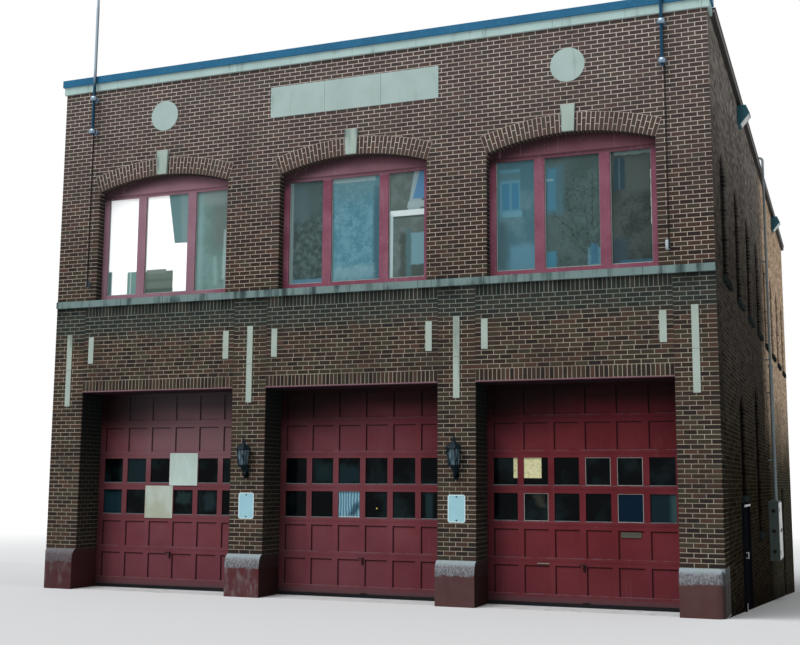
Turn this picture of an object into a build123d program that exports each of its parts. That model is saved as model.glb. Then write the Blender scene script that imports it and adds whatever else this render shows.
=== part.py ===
from build123d import *
from math import asin, cos, radians, sin, sqrt
import os

# A two-storey brick fire station with three engine doors in its front.
# Millimetres. X runs along the front and is 0 at its centre, Y runs into the
# building and is 0 at the front wall's face, Z is 0 at the foot of the walls.

# Whole building
GROUND = 1350             # front street above the lowest ground, at the back
WALL = 350                # side, rear and upper front walls
PIER_DEPTH = 750          # ground-storey piers and the wall on them
SLAB = 200
GROUND_FLOOR_RISE = 30    # ground floor above the front street

# Levels above the front street
DOOR_HEAD = GROUND + 3670
BAND_TOP = GROUND + 5450
BAND_HEIGHT = 125
UPPER_FLOOR_DROP = 750    # upper floor below the window sills
UPPER_FLOOR = BAND_TOP - UPPER_FLOOR_DROP
WALL_TOP = BAND_TOP + 4209
PARAPET_HEIGHT = 560
ROOF_TOP = WALL_TOP - PARAPET_HEIGHT
ROOF_SLAB = 250

# Front bays
DOOR_WIDTH = 3276
MIDDLE_PIER = 667
OUTER_PIER = 669
BAY_PITCH = DOOR_WIDTH + MIDDLE_PIER
BAYS = (-BAY_PITCH, 0, BAY_PITCH)
FRONT_WIDTH = BAYS[-1] - BAYS[0] + DOOR_WIDTH + 2 * OUTER_PIER
LINTEL_THICKNESS = 25
LINTEL_BEARING = 110
LINTEL_BEARING_SETBACK = 102   # the brick in front of its ends
LINTEL_PROUD = 6

# Upper front windows and their arches
WINDOW_WIDTH = 2863
WINDOW_SPRINGING = BAND_TOP + 2139
WINDOW_RISE = 235
ARCH_RING = 320
ARCH_PROUD = 4
KEYSTONE_TOP_WIDTH = 244
KEYSTONE_FOOT_WIDTH = 202
KEYSTONE_HEIGHT = 458
KEYSTONE_PROUD = 55
KEYSTONE_DEPTH = 250

# Window joinery
FRAME_FACE = 185          # from the wall's face back to the frame
FRAME_DEPTH = 90
JAMB = 115
MULLION = 175
SIDE_LIGHT = 673
BOTTOM_RAIL = 110
LIGHT_HEIGHT = 1902
HEAD_BOARD_LAP = 58       # frame that shows under the head board
HEAD_BOARD_THICKNESS = 32
PANE = 12
PANE_SETBACK = 40

# Stone in the front wall
BAND_PROUD = 40
COPING_HEIGHT = 150
COPING_PROUD = 38
COPING_DRIP = 60          # behind the parapet
CAP_HEIGHT = 140
CAP_PROUD = 68
INSERT_PROUD = 12
INSERT_DEPTH = 100
STRIP_WIDTH = 113
TALL_STRIP_FOOT = BAND_TOP - 2034
TALL_STRIP_TOP = BAND_TOP - 645
STONE_JOINT = 5
JOINT_DEPTH = 18          # how far the joints of long courses are raked out
COPING_BLOCK = 1234
BAND_WINDOW_STONE = 1320  # the band's stone under the middle of each window
BAND_STONE = 875          # those on both sides of it
SHORT_STRIP_FOOT = BAND_TOP - 1224
SHORT_STRIP_TOP = BAND_TOP - 716
SHORT_STRIP_INSET = 163   # from the door opening's side to the strip's centre
DISC_RADIUS = 295
DISC_LEVEL = BAND_TOP + 3533
PANEL_WIDTH = 3292
PANEL_FOOT = BAND_TOP + 3231
PANEL_TOP = BAND_TOP + 3811
PANEL_SLABS = 3

# Side and rear windows
SIDE_WINDOW_PITCH = 2521
SIDE_WINDOW_COUNT = 8
SIDE_WINDOW_END = 1640    # from the front, and from the back, to the nearest window
DEPTH = 2 * SIDE_WINDOW_END + (SIDE_WINDOW_COUNT - 1) * SIDE_WINDOW_PITCH
SIDE_WINDOW_WIDTH = 950
SIDE_WINDOW_SILL = BAND_TOP
SIDE_WINDOW_SPRINGING = BAND_TOP + 1960
SIDE_WINDOW_RISE = 250
SIDE_FRAME_FACE = 120
SIDE_FRAME_WIDTH = 62
SIDE_FRAME_DEPTH = 75
SIDE_PANE_SETBACK = 32
SILL_HEIGHT = 110
SILL_PROUD = 60
SILL_EAR = 100
REAR_WINDOW_COUNT = 4
LOWER_SILL = GROUND + 1000
LOWER_SPRINGING = GROUND + 3850
# centre, sill and springing of each lower side window
LOWER_WINDOWS = (
    (3930, GROUND + 1800, GROUND + 3420),
    (7560, LOWER_SILL, LOWER_SPRINGING),
    (12900, LOWER_SILL, LOWER_SPRINGING),
)
SIDE_COPING_PROUD = 80
SIDE_COPING_HEIGHT = 110
SIDE_EDGE_PROUD = 95
SIDE_EDGE_HEIGHT = 35

# Side doors: centre, foot, width and height
SERVICE_DOOR = (3760, GROUND - 250, 1330, 1930)
BACK_DOOR = (16100, GROUND - 1030, 1000, 2930)
SIDE_DOOR_PROUD = 45
SIDE_DOOR_FRAME = 55
SIDE_DOOR_LEAF = 45
BACK_DOOR_SETBACK = 140

# Engine doors
DOOR_SETBACK = 650
DOOR_LEAF = 48
DOOR_TRIM = 25
DOOR_TRIM_DEPTH = 90
DOOR_CLEARANCE = 2
DOOR_SILL_RISE = 60
DOOR_SILL_LIP = 30        # in front of the leaf
DOOR_COLUMNS = 6
DOOR_ROWS = 6
GLAZED_ROWS = (2, 3)
CELL_STILE = 105          # between two cells
CELL_RAIL = 130
LEAF_END_STILE = 88.5
LEAF_BOTTOM_RAIL = 135
LEAF_TOP_RAIL = 26
PANEL_RECESS = 18
SECTION_GROOVE = 5
DOOR_PANE = 6
DOOR_PANE_SETBACK = 22
BOARD_THICKNESS = 12
BOARD_SIDE = 606          # a square board, fixed on the leaf's face
# door, row from the foot and column of the cells behind the plywood boards, and
# how far each board's centre is above its cell's
BOARDED_CELLS = ((0, 3, 3, 26), (0, 2, 2, 4))
MAIL_SLOT_WIDTH = 325
MAIL_SLOT_HEIGHT = 84
MAIL_SLOT_RIM = 22
MAIL_SLOT_LIP = 14
MAIL_SLOT_COLUMN = 4
MAIL_SLOT_RISE = 394      # its centre above the foot of its panel
HANDLE_REACH = 44
HANDLE_LENGTH = 130
HANDLE_RADIUS = 10
HANDLE_RISE = 22          # above the top of the lowest panels
LIFT_BAR_LENGTH = 210
LIFT_BAR_HEIGHT = 20
LIFT_BAR_PROUD = 16
LIFT_BAR_OFFSET = -670

# Wheel guards under the piers
GUARD_HEIGHT = 735
GUARD_PROUD = 120
GUARD_NOSE = 195          # height of its swept top, which runs back to the wall's face
GUARD_CORNER = 150        # rounding in plan at the ends of the front
GUARD_TOP_CORNER = 110
GUARD_CHEEK = 8           # proud of the doorway's sides

# Wall lanterns and plates on the middle piers
LANTERN_AXIS = 150        # out from the wall
LANTERN_FOOT = GROUND + 2040
LANTERN_SIDES = 6
LANTERN_TRAY = 26
LANTERN_TRAY_RISE = 232   # tray above the bracket's foot
LANTERN_TRAY_FOOT_RADIUS = 78
LANTERN_TRAY_RADIUS = 104
LANTERN_GLASS = 262
LANTERN_GLASS_FOOT_RADIUS = 92
LANTERN_GLASS_TOP_RADIUS = 118
LANTERN_GLASS_WALL = 6
LANTERN_RIB = 6
LANTERN_EAVE_RADIUS = 137
LANTERN_EAVE = 14
# height above the eave and radius of each level of the roof
LANTERN_ROOF = ((0, 132), (48, 98), (114, 42), (138, 24))
LANTERN_BALL = 24
LANTERN_BALL_RISE = 17    # its centre above the roof
LANTERN_SPIKE = 70
LANTERN_SPIKE_FOOT = 19   # above the ball's centre
LANTERN_SPIKE_RADII = (11, 2.5)
BRACKET_PLATE_WIDTH = 96
BRACKET_PLATE_FOOT = 60
BRACKET_PLATE_TOP = 420
BRACKET_PLATE = 14
BRACKET_ARM = 22
BRACKET_STEM = 74         # height of the stem under the tray
BRACKET_STEM_RADIUS = 47
BRACKET_LOW = 70          # lowest point of the arm, above the bracket's foot
BRACKET_KNEE = 97         # where the arm turns up
BRACKET_HALF_WAY = 65     # lowest point of the arm, out from the wall
BRACKET_CURL = 26
BRACKET_CURL_BORE = 14
BRACKET_CURL_DROP = 32    # its centre below the arm
PLATE_WIDTH = 305
PLATE_HEIGHT = 457
PLATE_FOOT = GROUND + 1352
PLATE_THICKNESS = 4
PLATE_CORNER = 38

# Flagpoles
POLE_INSET = 723          # from the front's corner to the pole
POLE_AXIS = 112           # out from the wall
POLE_FOOT = GROUND + 8740
POLE_LENGTH = 4570
POLE_RADIUS = 25
POLE_TIP_RADIUS = 20
POLE_SWAGE = 90           # cone between its two tubes
POLE_LOWER_LENGTH = 2600
POLE_BALL = 42
POLE_BALL_RISE = 34       # its centre above the truck
POLE_TRUCK = 18           # disc under the ball that carries the halyard
CLAMP_LEVELS = (GROUND + 8806, GROUND + 9474)
CLAMP_RADIUS = 70
CLAMP_HEIGHT = 88
CLAMP_BORE_PLAY = 0.5
CLAMP_WEB = 5             # metal between the pole's bore and the rope's hole
CLAMP_SEAM = 215          # degrees from the right, clear of the arm and the rope's hole
ARM_RADIUS = 18
ARM_SOCKET = 12           # length of the arm inside the clamp
FLANGE_RADIUS = 55
FLANGE_THICKNESS = 10
ROPE_RADIUS = 4
ROPE_PLAY = 1.5
CLEAT_LEVEL = GROUND + 5780
CLEAT_LENGTH = 200
CLEAT_RADIUS = 11
SEAT = 0.3                # running clearance between pieces that touch

# Service fittings on the right wall
FLOODLIGHT_PLACES = (5300, 15800)
FLOODLIGHT_TOP = GROUND + 9620
FLOODLIGHT_HEIGHT = 400
FLOODLIGHT_PROUD = 250
FLOODLIGHT_LENGTH = 360
FLOODLIGHT_BACK = 60      # thickness at its foot
FLOODLIGHT_BROW = 168     # depth of its straight front
FLOODLIGHT_ROOF_SLOPE = 70
FLOODLIGHT_RIM = 26
FLOODLIGHT_LENS = 40
CONDUIT_PLACE = 10700
CONDUIT_RADIUS = 30
CONDUIT_HOOK = 180        # width of the bend over the parapet
CONDUIT_BEND = 80
CONDUIT_DROP = 110
CONDUIT_RISE = 250        # above the side coping
CONDUIT_CLEARANCE = 5
CONDUIT_STRAPS = (0.12, 0.42, 0.72)
SERVICE_PIPE_STRAPS = (0.25, 0.8)
STRAP_WIDTH = 36
STRAP_THICKNESS = 28
SERVICE_PIPE_GAP = 130
SERVICE_PIPE_RADIUS = 45
SERVICE_PIPE_HOOD = 61    # radius of the rounded hood at its top
SERVICE_PIPE_TOP = GROUND + 4850
CABINET_START = 10150
CABINET_LENGTH = 1150
CABINET_DEPTH = 220
CABINET_FOOT = GROUND + 250
CABINET_TOP = GROUND + 1620
CABINET_DOOR = 14
CABINET_MARGIN = 35
CABINET_DOOR_GAP = 24

HALF = FRONT_WIDTH / 2
INSIDE = HALF - WALL
FLOOR_TOP = GROUND + GROUND_FLOOR_RISE
nodes = {}


def block(x0, x1, y0, y1, z0, z1):
    corner = (min(x0, x1), min(y0, y1), min(z0, z1))
    size = (abs(x1 - x0), abs(y1 - y0), abs(z1 - z0))
    return Pos(*corner) * Box(*size, align=(Align.MIN, Align.MIN, Align.MIN))


def front_plane(x=0, y=0):
    # local X along the front, local Y up, normal towards the street
    return Plane(origin=(x, y, 0), x_dir=(1, 0, 0), z_dir=(0, -1, 0))


def side_plane(x, y=0):
    # local X into the depth, local Y up, normal to the right
    return Plane(origin=(x, y, 0), x_dir=(0, 1, 0), z_dir=(1, 0, 0))


def push(plane, face, start, end):
    # a face pushed from one distance to another along the plane's normal
    return extrude(plane.offset(start) * face, end - start)


def arched_face(width, foot, springing, rise):
    half = width / 2
    sides = Polyline((-half, springing), (-half, foot), (half, foot), (half, springing))
    head = ThreePointArc((half, springing), (0, springing + rise), (-half, springing))
    return make_face([*sides.edges(), *head.edges()])


def arch_radius(width, rise):
    return (width * width / 4 + rise * rise) / (2 * rise)


def ring_face(width, springing, rise, thickness):
    # a ring of voussoirs, its ends cut square to the curve
    inner = arch_radius(width, rise)
    outer = inner + thickness
    centre = springing + rise - inner
    half_angle = asin(width / 2 / inner)
    ends = []
    for radius in (inner, outer):
        ends.append((radius * sin(half_angle), centre + radius * cos(half_angle)))
    (x_in, z_in), (x_out, z_out) = ends
    lower = ThreePointArc((-x_in, z_in), (0, centre + inner), (x_in, z_in))
    upper = ThreePointArc((x_out, z_out), (0, centre + outer), (-x_out, z_out))
    right = Line((x_in, z_in), (x_out, z_out))
    left = Line((-x_out, z_out), (-x_in, z_in))
    return make_face([lower, right, upper, left])


def keystone_face():
    foot = WINDOW_SPRINGING + WINDOW_RISE
    top = foot + KEYSTONE_HEIGHT
    half_foot = KEYSTONE_FOOT_WIDTH / 2
    half_top = KEYSTONE_TOP_WIDTH / 2
    corners = [(-half_foot, foot), (half_foot, foot), (half_top, top), (-half_top, top)]
    return make_face(Polyline(*corners, close=True).edges())


def rectangle(x0, x1, z0, z1):
    return Pos((x0 + x1) / 2, (z0 + z1) / 2) * Rectangle(x1 - x0, z1 - z0)


def group(name, solids):
    nodes[name] = Compound(children=list(solids)) if len(solids) > 1 else solids[0]


# Piers and door openings
pier_edges = []
left_edge = -HALF
for bay in BAYS:
    pier_edges.append((left_edge, bay - DOOR_WIDTH / 2))
    left_edge = bay + DOOR_WIDTH / 2
pier_edges.append((left_edge, HALF))
pier_centres = [(x0 + x1) / 2 for x0, x1 in pier_edges]
middle_piers = pier_centres[1:-1]

strip_cutters = []
tall_strips = []
tall_joint = (TALL_STRIP_FOOT + TALL_STRIP_TOP) / 2
for place in pier_centres:
    x0 = place - STRIP_WIDTH / 2
    x1 = place + STRIP_WIDTH / 2
    strip_cutters.append(block(x0, x1, 0, INSERT_DEPTH, TALL_STRIP_FOOT, TALL_STRIP_TOP))
    foot_piece = (TALL_STRIP_FOOT, tall_joint - STONE_JOINT / 2)
    top_piece = (tall_joint + STONE_JOINT / 2, TALL_STRIP_TOP)
    for z0, z1 in (foot_piece, top_piece):
        tall_strips.append(block(x0, x1, -INSERT_PROUD, INSERT_DEPTH, z0, z1))

short_strips = []
for bay in BAYS:
    for side in (-1, 1):
        x0 = bay + side * (DOOR_WIDTH / 2 - SHORT_STRIP_INSET) - STRIP_WIDTH / 2
        x1 = x0 + STRIP_WIDTH
        strip_cutters.append(block(x0, x1, 0, INSERT_DEPTH, SHORT_STRIP_FOOT, SHORT_STRIP_TOP))
        short_strips.append(block(x0, x1, -INSERT_PROUD, INSERT_DEPTH, SHORT_STRIP_FOOT, SHORT_STRIP_TOP))
group("stone_strips", tall_strips + short_strips)

guard_top = GROUND + GUARD_HEIGHT
piers = []
for x0, x1 in pier_edges:
    pier = block(x0, x1, 0, PIER_DEPTH, guard_top, DOOR_HEAD)
    for cutter in strip_cutters:
        pier = pier - cutter
    piers.append(pier.solid())
group("front_foundation", [block(-HALF, HALF, 0, PIER_DEPTH, 0, GROUND)])

lintels = []
for bay in BAYS:
    x0 = bay - DOOR_WIDTH / 2
    x1 = bay + DOOR_WIDTH / 2
    z1 = DOOR_HEAD + LINTEL_THICKNESS
    start = x0 - LINTEL_BEARING
    end = x1 + LINTEL_BEARING
    bearing = block(start, end, LINTEL_BEARING_SETBACK, PIER_DEPTH, DOOR_HEAD, z1)
    edge = block(x0, x1, -LINTEL_PROUD, PIER_DEPTH, DOOR_HEAD, z1)
    lintels.append((bearing + edge).solid())
group("door_lintels", lintels)

band_foot = BAND_TOP - BAND_HEIGHT
step = [
    (0, DOOR_HEAD), (PIER_DEPTH, DOOR_HEAD), (PIER_DEPTH, UPPER_FLOOR),
    (WALL, UPPER_FLOOR), (WALL, band_foot), (0, band_foot),
]
over_doors = push(side_plane(0), make_face(Polyline(*step, close=True).edges()), -HALF, HALF)
for cutter in strip_cutters + lintels:
    over_doors = over_doors - cutter
group("wall_over_doors", [over_doors.solid()])


def rake_joints(course, places, front, z0, z1):
    # upright joints in the face of a course of stones
    for x in places:
        course = course - block(x - STONE_JOINT / 2, x + STONE_JOINT / 2, front, front + JOINT_DEPTH, z0, z1)
    return course.solid()


band_joints = []
for bay in BAYS:
    for side in (-1, 1):
        band_joints.append(bay + side * BAND_WINDOW_STONE / 2)
        band_joints.append(bay + side * (BAND_WINDOW_STONE / 2 + BAND_STONE))
band = block(-HALF, HALF, -BAND_PROUD, WALL, band_foot, BAND_TOP)
group("stone_band", [rake_joints(band, band_joints, -BAND_PROUD, band_foot, BAND_TOP)])

# Upper front wall
upper_piers = []
window_edges = [bay + side * WINDOW_WIDTH / 2 for bay in BAYS for side in (-1, 1)]
pier_bounds = [-HALF] + window_edges + [HALF]
for x0, x1 in zip(pier_bounds[0::2], pier_bounds[1::2]):
    upper_piers.append(block(x0, x1, 0, WALL, BAND_TOP, WINDOW_SPRINGING))
group("brick_piers", piers + upper_piers)

head_wall = block(-HALF, HALF, 0, WALL, WINDOW_SPRINGING, WALL_TOP)
arches = []
keystones = []
for bay in BAYS:
    plane = front_plane(bay)
    opening = arched_face(WINDOW_WIDTH, WINDOW_SPRINGING - WINDOW_RISE, WINDOW_SPRINGING, WINDOW_RISE)
    ring = ring_face(WINDOW_WIDTH, WINDOW_SPRINGING, WINDOW_RISE, ARCH_RING)
    head_wall = head_wall - push(plane, opening, -WALL, 0)
    head_wall = head_wall - push(plane, ring, -WALL, 0)
    head_wall = head_wall - push(plane, keystone_face(), -KEYSTONE_DEPTH, 0)
    key = push(plane, keystone_face(), -KEYSTONE_DEPTH, KEYSTONE_PROUD)
    keystones.append(key.solid())
    arch = push(plane, ring, -WALL, ARCH_PROUD) - key
    arches += arch.solids()
group("window_arches", arches)
group("keystones", keystones)

discs = []
for place in (BAYS[0], BAYS[-1]):
    plane = front_plane(place)
    round_face = Pos(0, DISC_LEVEL) * Circle(DISC_RADIUS)
    head_wall = head_wall - push(plane, round_face, -INSERT_DEPTH, 0)
    discs.append(push(plane, round_face, -INSERT_DEPTH, INSERT_PROUD).solid())

slabs = []
slab_width = (PANEL_WIDTH - (PANEL_SLABS - 1) * STONE_JOINT) / PANEL_SLABS
for index in range(PANEL_SLABS):
    x0 = index * (slab_width + STONE_JOINT) - PANEL_WIDTH / 2
    slabs.append(block(x0, x0 + slab_width, -INSERT_PROUD, INSERT_DEPTH, PANEL_FOOT, PANEL_TOP))
head_wall = head_wall - block(-PANEL_WIDTH / 2, PANEL_WIDTH / 2, 0, INSERT_DEPTH, PANEL_FOOT, PANEL_TOP)
group("stone_panel_and_discs", slabs + discs)
group("upper_front_wall", [head_wall.solid()])

coping_top = WALL_TOP + COPING_HEIGHT
coping_back = WALL + COPING_DRIP
coping_end = HALF + COPING_PROUD
coping_blocks = int(coping_end / COPING_BLOCK)
coping_joints = [index * COPING_BLOCK for index in range(-coping_blocks, coping_blocks + 1)]
coping = block(-coping_end, coping_end, -COPING_PROUD, coping_back, WALL_TOP, coping_top)
group("front_coping", [rake_joints(coping, coping_joints, -COPING_PROUD, WALL_TOP, coping_top)])
cap_end = HALF + CAP_PROUD
cap_top = coping_top + CAP_HEIGHT
group("metal_cap", [block(-cap_end, cap_end, -CAP_PROUD, coping_back, coping_top, cap_top)])

# Side and rear walls
upper_windows = []
for index in range(SIDE_WINDOW_COUNT):
    place = SIDE_WINDOW_END + index * SIDE_WINDOW_PITCH
    upper_windows.append((place, SIDE_WINDOW_SILL, SIDE_WINDOW_SPRINGING))
rear_start = -(REAR_WINDOW_COUNT - 1) * SIDE_WINDOW_PITCH / 2
rear_windows = []
for index in range(REAR_WINDOW_COUNT):
    place = rear_start + index * SIDE_WINDOW_PITCH
    rear_windows.append((place, SIDE_WINDOW_SILL, SIDE_WINDOW_SPRINGING))
    rear_windows.append((place, LOWER_SILL, LOWER_SPRINGING))

side_profile = [
    (PIER_DEPTH, 0), (DEPTH, 0), (DEPTH, WALL_TOP), (WALL, WALL_TOP),
    (WALL, UPPER_FLOOR), (PIER_DEPTH, UPPER_FLOOR),
]
side_face = make_face(Polyline(*side_profile, close=True).edges())


def window_parts(plane, windows, outward):
    # cutters, sills, frames and panes of a row of arched windows; the plane
    # lies on the wall's outer face, and outward is the sign of its normal
    cutters = []
    sills = []
    frames = []
    panes = []
    for place, sill, springing in windows:
        at = Pos(place, 0)
        opening = at * arched_face(SIDE_WINDOW_WIDTH, sill, springing, SIDE_WINDOW_RISE)
        cutters.append(push(plane, opening, -outward * WALL, 0))
        half = SIDE_WINDOW_WIDTH / 2
        seat = rectangle(place - half - SILL_EAR, place + half + SILL_EAR, sill - SILL_HEIGHT, sill)
        cutters.append(push(plane, seat, -outward * WALL, 0))
        sills.append(push(plane, seat, -outward * WALL, outward * SILL_PROUD).solid())
        light_width = SIDE_WINDOW_WIDTH - 2 * SIDE_FRAME_WIDTH
        light_foot = sill + SIDE_FRAME_WIDTH
        middle = (sill + springing) / 2
        light_rise = SIDE_WINDOW_RISE * light_width / SIDE_WINDOW_WIDTH
        crown = springing + SIDE_WINDOW_RISE - SIDE_FRAME_WIDTH
        light = at * arched_face(light_width, light_foot, crown - light_rise, light_rise)
        bar_foot = middle - SIDE_FRAME_WIDTH / 2
        bar = rectangle(place - half, place + half, bar_foot, bar_foot + SIDE_FRAME_WIDTH)
        lights = light - bar
        front = -outward * SIDE_FRAME_FACE
        back = -outward * (SIDE_FRAME_FACE + SIDE_FRAME_DEPTH)
        frames.append(push(plane, opening - lights, front, back).solid())
        pane_front = -outward * (SIDE_FRAME_FACE + SIDE_PANE_SETBACK)
        pane_back = -outward * (SIDE_FRAME_FACE + SIDE_PANE_SETBACK + PANE)
        panes += push(plane, lights, pane_front, pane_back).solids()
    return cutters, sills, frames, panes


def door_opening(door):
    place, foot, width, height = door
    return rectangle(place - width / 2, place + width / 2, foot, foot + height)


right_plane = side_plane(HALF)
left_plane = side_plane(-HALF)
rear_plane = front_plane(0, DEPTH)
side_windows = upper_windows + list(LOWER_WINDOWS)
right_cut, right_sills, right_frames, right_panes = window_parts(right_plane, side_windows, 1)
left_cut, left_sills, left_frames, left_panes = window_parts(left_plane, side_windows, -1)
rear_cut, rear_sills, rear_frames, rear_panes = window_parts(rear_plane, rear_windows, -1)

right_wall = push(right_plane, side_face, -WALL, 0)
for door in (SERVICE_DOOR, BACK_DOOR):
    right_cut.append(push(right_plane, door_opening(door), -WALL, 0))
for cutter in right_cut:
    right_wall = right_wall - cutter
left_wall = push(left_plane, side_face, 0, WALL)
for cutter in left_cut:
    left_wall = left_wall - cutter
rear_wall = block(-INSIDE, INSIDE, DEPTH - WALL, DEPTH, 0, WALL_TOP)
for cutter in rear_cut:
    rear_wall = rear_wall - cutter
group("right_wall", [right_wall.solid()])
group("left_wall", [left_wall.solid()])
group("rear_wall", [rear_wall.solid()])
group("side_window_sills", right_sills + left_sills + rear_sills)
group("side_window_frames", right_frames + left_frames + rear_frames)

# Parapet copings on the sides and rear
coping_inside = INSIDE - COPING_DRIP
coping_outside = HALF + SIDE_COPING_PROUD
rear_coping_front = DEPTH - WALL - COPING_DRIP
coping_foot = WALL_TOP
edge_foot = coping_foot + SIDE_COPING_HEIGHT
side_copings = []
edge_strips = []
for side in (-1, 1):
    x_in = side * coping_inside
    x_out = side * coping_outside
    x_edge = side * (HALF + SIDE_EDGE_PROUD)
    rear_end = DEPTH + SIDE_COPING_PROUD
    side_copings.append(block(x_in, x_out, coping_back, rear_end, coping_foot, edge_foot))
    rear_edge = DEPTH + SIDE_EDGE_PROUD
    edge_strips.append(block(x_in, x_edge, coping_back, rear_edge, edge_foot, edge_foot + SIDE_EDGE_HEIGHT))
rear_span = (-coping_inside, coping_inside, rear_coping_front)
side_copings.append(block(*rear_span, DEPTH + SIDE_COPING_PROUD, coping_foot, edge_foot))
edge_strips.append(block(*rear_span, DEPTH + SIDE_EDGE_PROUD, edge_foot, edge_foot + SIDE_EDGE_HEIGHT))
group("side_coping", side_copings)
group("coping_flashing", edge_strips)

# Floors and roof
floor_back = DEPTH - WALL
group("ground_floor", [block(-INSIDE, INSIDE, PIER_DEPTH, floor_back, FLOOR_TOP - SLAB, FLOOR_TOP)])
group("upper_floor", [block(-INSIDE, INSIDE, PIER_DEPTH, floor_back, UPPER_FLOOR - SLAB, UPPER_FLOOR)])
group("roof_deck", [block(-INSIDE, INSIDE, WALL, floor_back, ROOF_TOP - ROOF_SLAB, ROOF_TOP)])


# Upper front windows
def front_window(bay):
    half = WINDOW_WIDTH / 2
    head = BAND_TOP + BOTTOM_RAIL + LIGHT_HEIGHT
    board_foot = head + HEAD_BOARD_LAP
    frame = rectangle(-half, half, BAND_TOP, WINDOW_SPRINGING)
    middle = WINDOW_WIDTH - 2 * JAMB - 2 * MULLION - 2 * SIDE_LIGHT
    lights = []
    x0 = -half + JAMB
    for width in (SIDE_LIGHT, middle, SIDE_LIGHT):
        lights.append(rectangle(x0, x0 + width, BAND_TOP + BOTTOM_RAIL, head))
        x0 += width + MULLION
    for light in lights:
        frame = frame - light
    plane = front_plane(bay)
    back = FRAME_FACE + FRAME_DEPTH
    body = push(plane, frame, -back, -FRAME_FACE).solid()
    glass_front = FRAME_FACE + PANE_SETBACK
    glass = []
    for light in lights:
        glass.append(push(plane, light, -glass_front - PANE, -glass_front).solid())
    board = arched_face(WINDOW_WIDTH, board_foot, WINDOW_SPRINGING, WINDOW_RISE)
    head_board = push(plane, board, -FRAME_FACE, HEAD_BOARD_THICKNESS - FRAME_FACE).solid()
    return body, glass, head_board


front_frames = []
front_glass = []
for bay in BAYS:
    body, glass, head_board = front_window(bay)
    front_frames += [body, head_board]
    front_glass += glass
group("front_window_frames", front_frames)
group("window_glass", front_glass + right_panes + left_panes + rear_panes)


# Engine doors
leaf_width = DOOR_WIDTH - 2 * DOOR_TRIM - 2 * DOOR_CLEARANCE
sill_top = GROUND + DOOR_SILL_RISE
leaf_foot = sill_top + SEAT
panel_foot = leaf_foot + LEAF_BOTTOM_RAIL
leaf_top = DOOR_HEAD - DOOR_TRIM - DOOR_CLEARANCE
cells_width = leaf_width - 2 * LEAF_END_STILE
cell_width = (cells_width - (DOOR_COLUMNS - 1) * CELL_STILE) / DOOR_COLUMNS
cells_height = leaf_top - LEAF_TOP_RAIL - panel_foot
cell_height = (cells_height - (DOOR_ROWS - 1) * CELL_RAIL) / DOOR_ROWS
column_pitch = cell_width + CELL_STILE
row_pitch = cell_height + CELL_RAIL


def cell_face(row, column):
    x0 = column * column_pitch - cells_width / 2
    z0 = panel_foot + row * row_pitch
    return rectangle(x0, x0 + cell_width, z0, z0 + cell_height)


def engine_door(bay):
    plane = front_plane(bay, DOOR_SETBACK)
    leaf = push(plane, rectangle(-leaf_width / 2, leaf_width / 2, leaf_foot, leaf_top), -DOOR_LEAF, 0)
    recesses = Sketch()
    lights = Sketch()
    for row in range(DOOR_ROWS):
        for column in range(DOOR_COLUMNS):
            if row in GLAZED_ROWS:
                lights += cell_face(row, column)
            else:
                recesses += cell_face(row, column)
    leaf = leaf - push(plane, recesses, -PANEL_RECESS, 0)
    leaf = leaf - push(plane, lights, -DOOR_LEAF, 0)
    grooves = Sketch()
    for row in range(1, DOOR_ROWS):
        z = panel_foot + row * row_pitch - CELL_RAIL / 2
        grooves += rectangle(-leaf_width / 2, leaf_width / 2, z - SECTION_GROOVE / 2, z + SECTION_GROOVE / 2)
    leaf = leaf - push(plane, grooves, -SECTION_GROOVE, 0)
    return leaf.solid()


def door_trim(bay):
    plane = front_plane(bay, DOOR_SETBACK)
    half = DOOR_WIDTH / 2
    outer = rectangle(-half, half, sill_top, DOOR_HEAD)
    inner = rectangle(-half + DOOR_TRIM, half - DOOR_TRIM, sill_top, DOOR_HEAD - DOOR_TRIM)
    return push(plane, outer - inner, -DOOR_TRIM_DEPTH, 0).solid()


door_glass = []
door_boards = []
door_trims = []
door_sills = []
for index, (name, bay) in enumerate(zip(("left", "middle", "right"), BAYS)):
    group(f"{name}_engine_door", [engine_door(bay)])
    plane = front_plane(bay, DOOR_SETBACK)
    for row in GLAZED_ROWS:
        for column in range(DOOR_COLUMNS):
            cell = cell_face(row, column)
            back = DOOR_PANE_SETBACK + DOOR_PANE
            door_glass.append(push(plane, cell, -back, -DOOR_PANE_SETBACK).solid())
    door_trims.append(door_trim(bay))
    half = DOOR_WIDTH / 2
    sill_front = DOOR_SETBACK - DOOR_SILL_LIP
    door_sills.append(block(bay - half, bay + half, sill_front, PIER_DEPTH, GROUND, sill_top))
for door, row, column, rise in BOARDED_CELLS:
    plane = front_plane(BAYS[door], DOOR_SETBACK)
    middle = cell_face(row, column).center()
    board = Pos(middle.X, middle.Y + rise) * Rectangle(BOARD_SIDE, BOARD_SIDE)
    door_boards.append(push(plane, board, 0, BOARD_THICKNESS).solid())
group("door_glass", door_glass)
group("door_boards", door_boards)
group("door_trim", door_trims)
group("door_sills", door_sills)


# Mail slot and lift bar on the right door, and a handle on each door
def mail_slot():
    x = BAYS[-1] + MAIL_SLOT_COLUMN * column_pitch + cell_width / 2 - cells_width / 2
    z = panel_foot + row_pitch + MAIL_SLOT_RISE
    plane = front_plane(x, DOOR_SETBACK + PANEL_RECESS)
    half_width = MAIL_SLOT_WIDTH / 2
    half_height = MAIL_SLOT_HEIGHT / 2
    plate = rectangle(-half_width, half_width, z - half_height, z + half_height)
    half_width -= MAIL_SLOT_RIM
    half_height -= MAIL_SLOT_RIM
    flap = rectangle(-half_width, half_width, z - half_height, z + half_height)
    body = push(plane, plate, 0, MAIL_SLOT_LIP) - push(plane, flap, MAIL_SLOT_LIP / 2, MAIL_SLOT_LIP)
    return body.solid()


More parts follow.
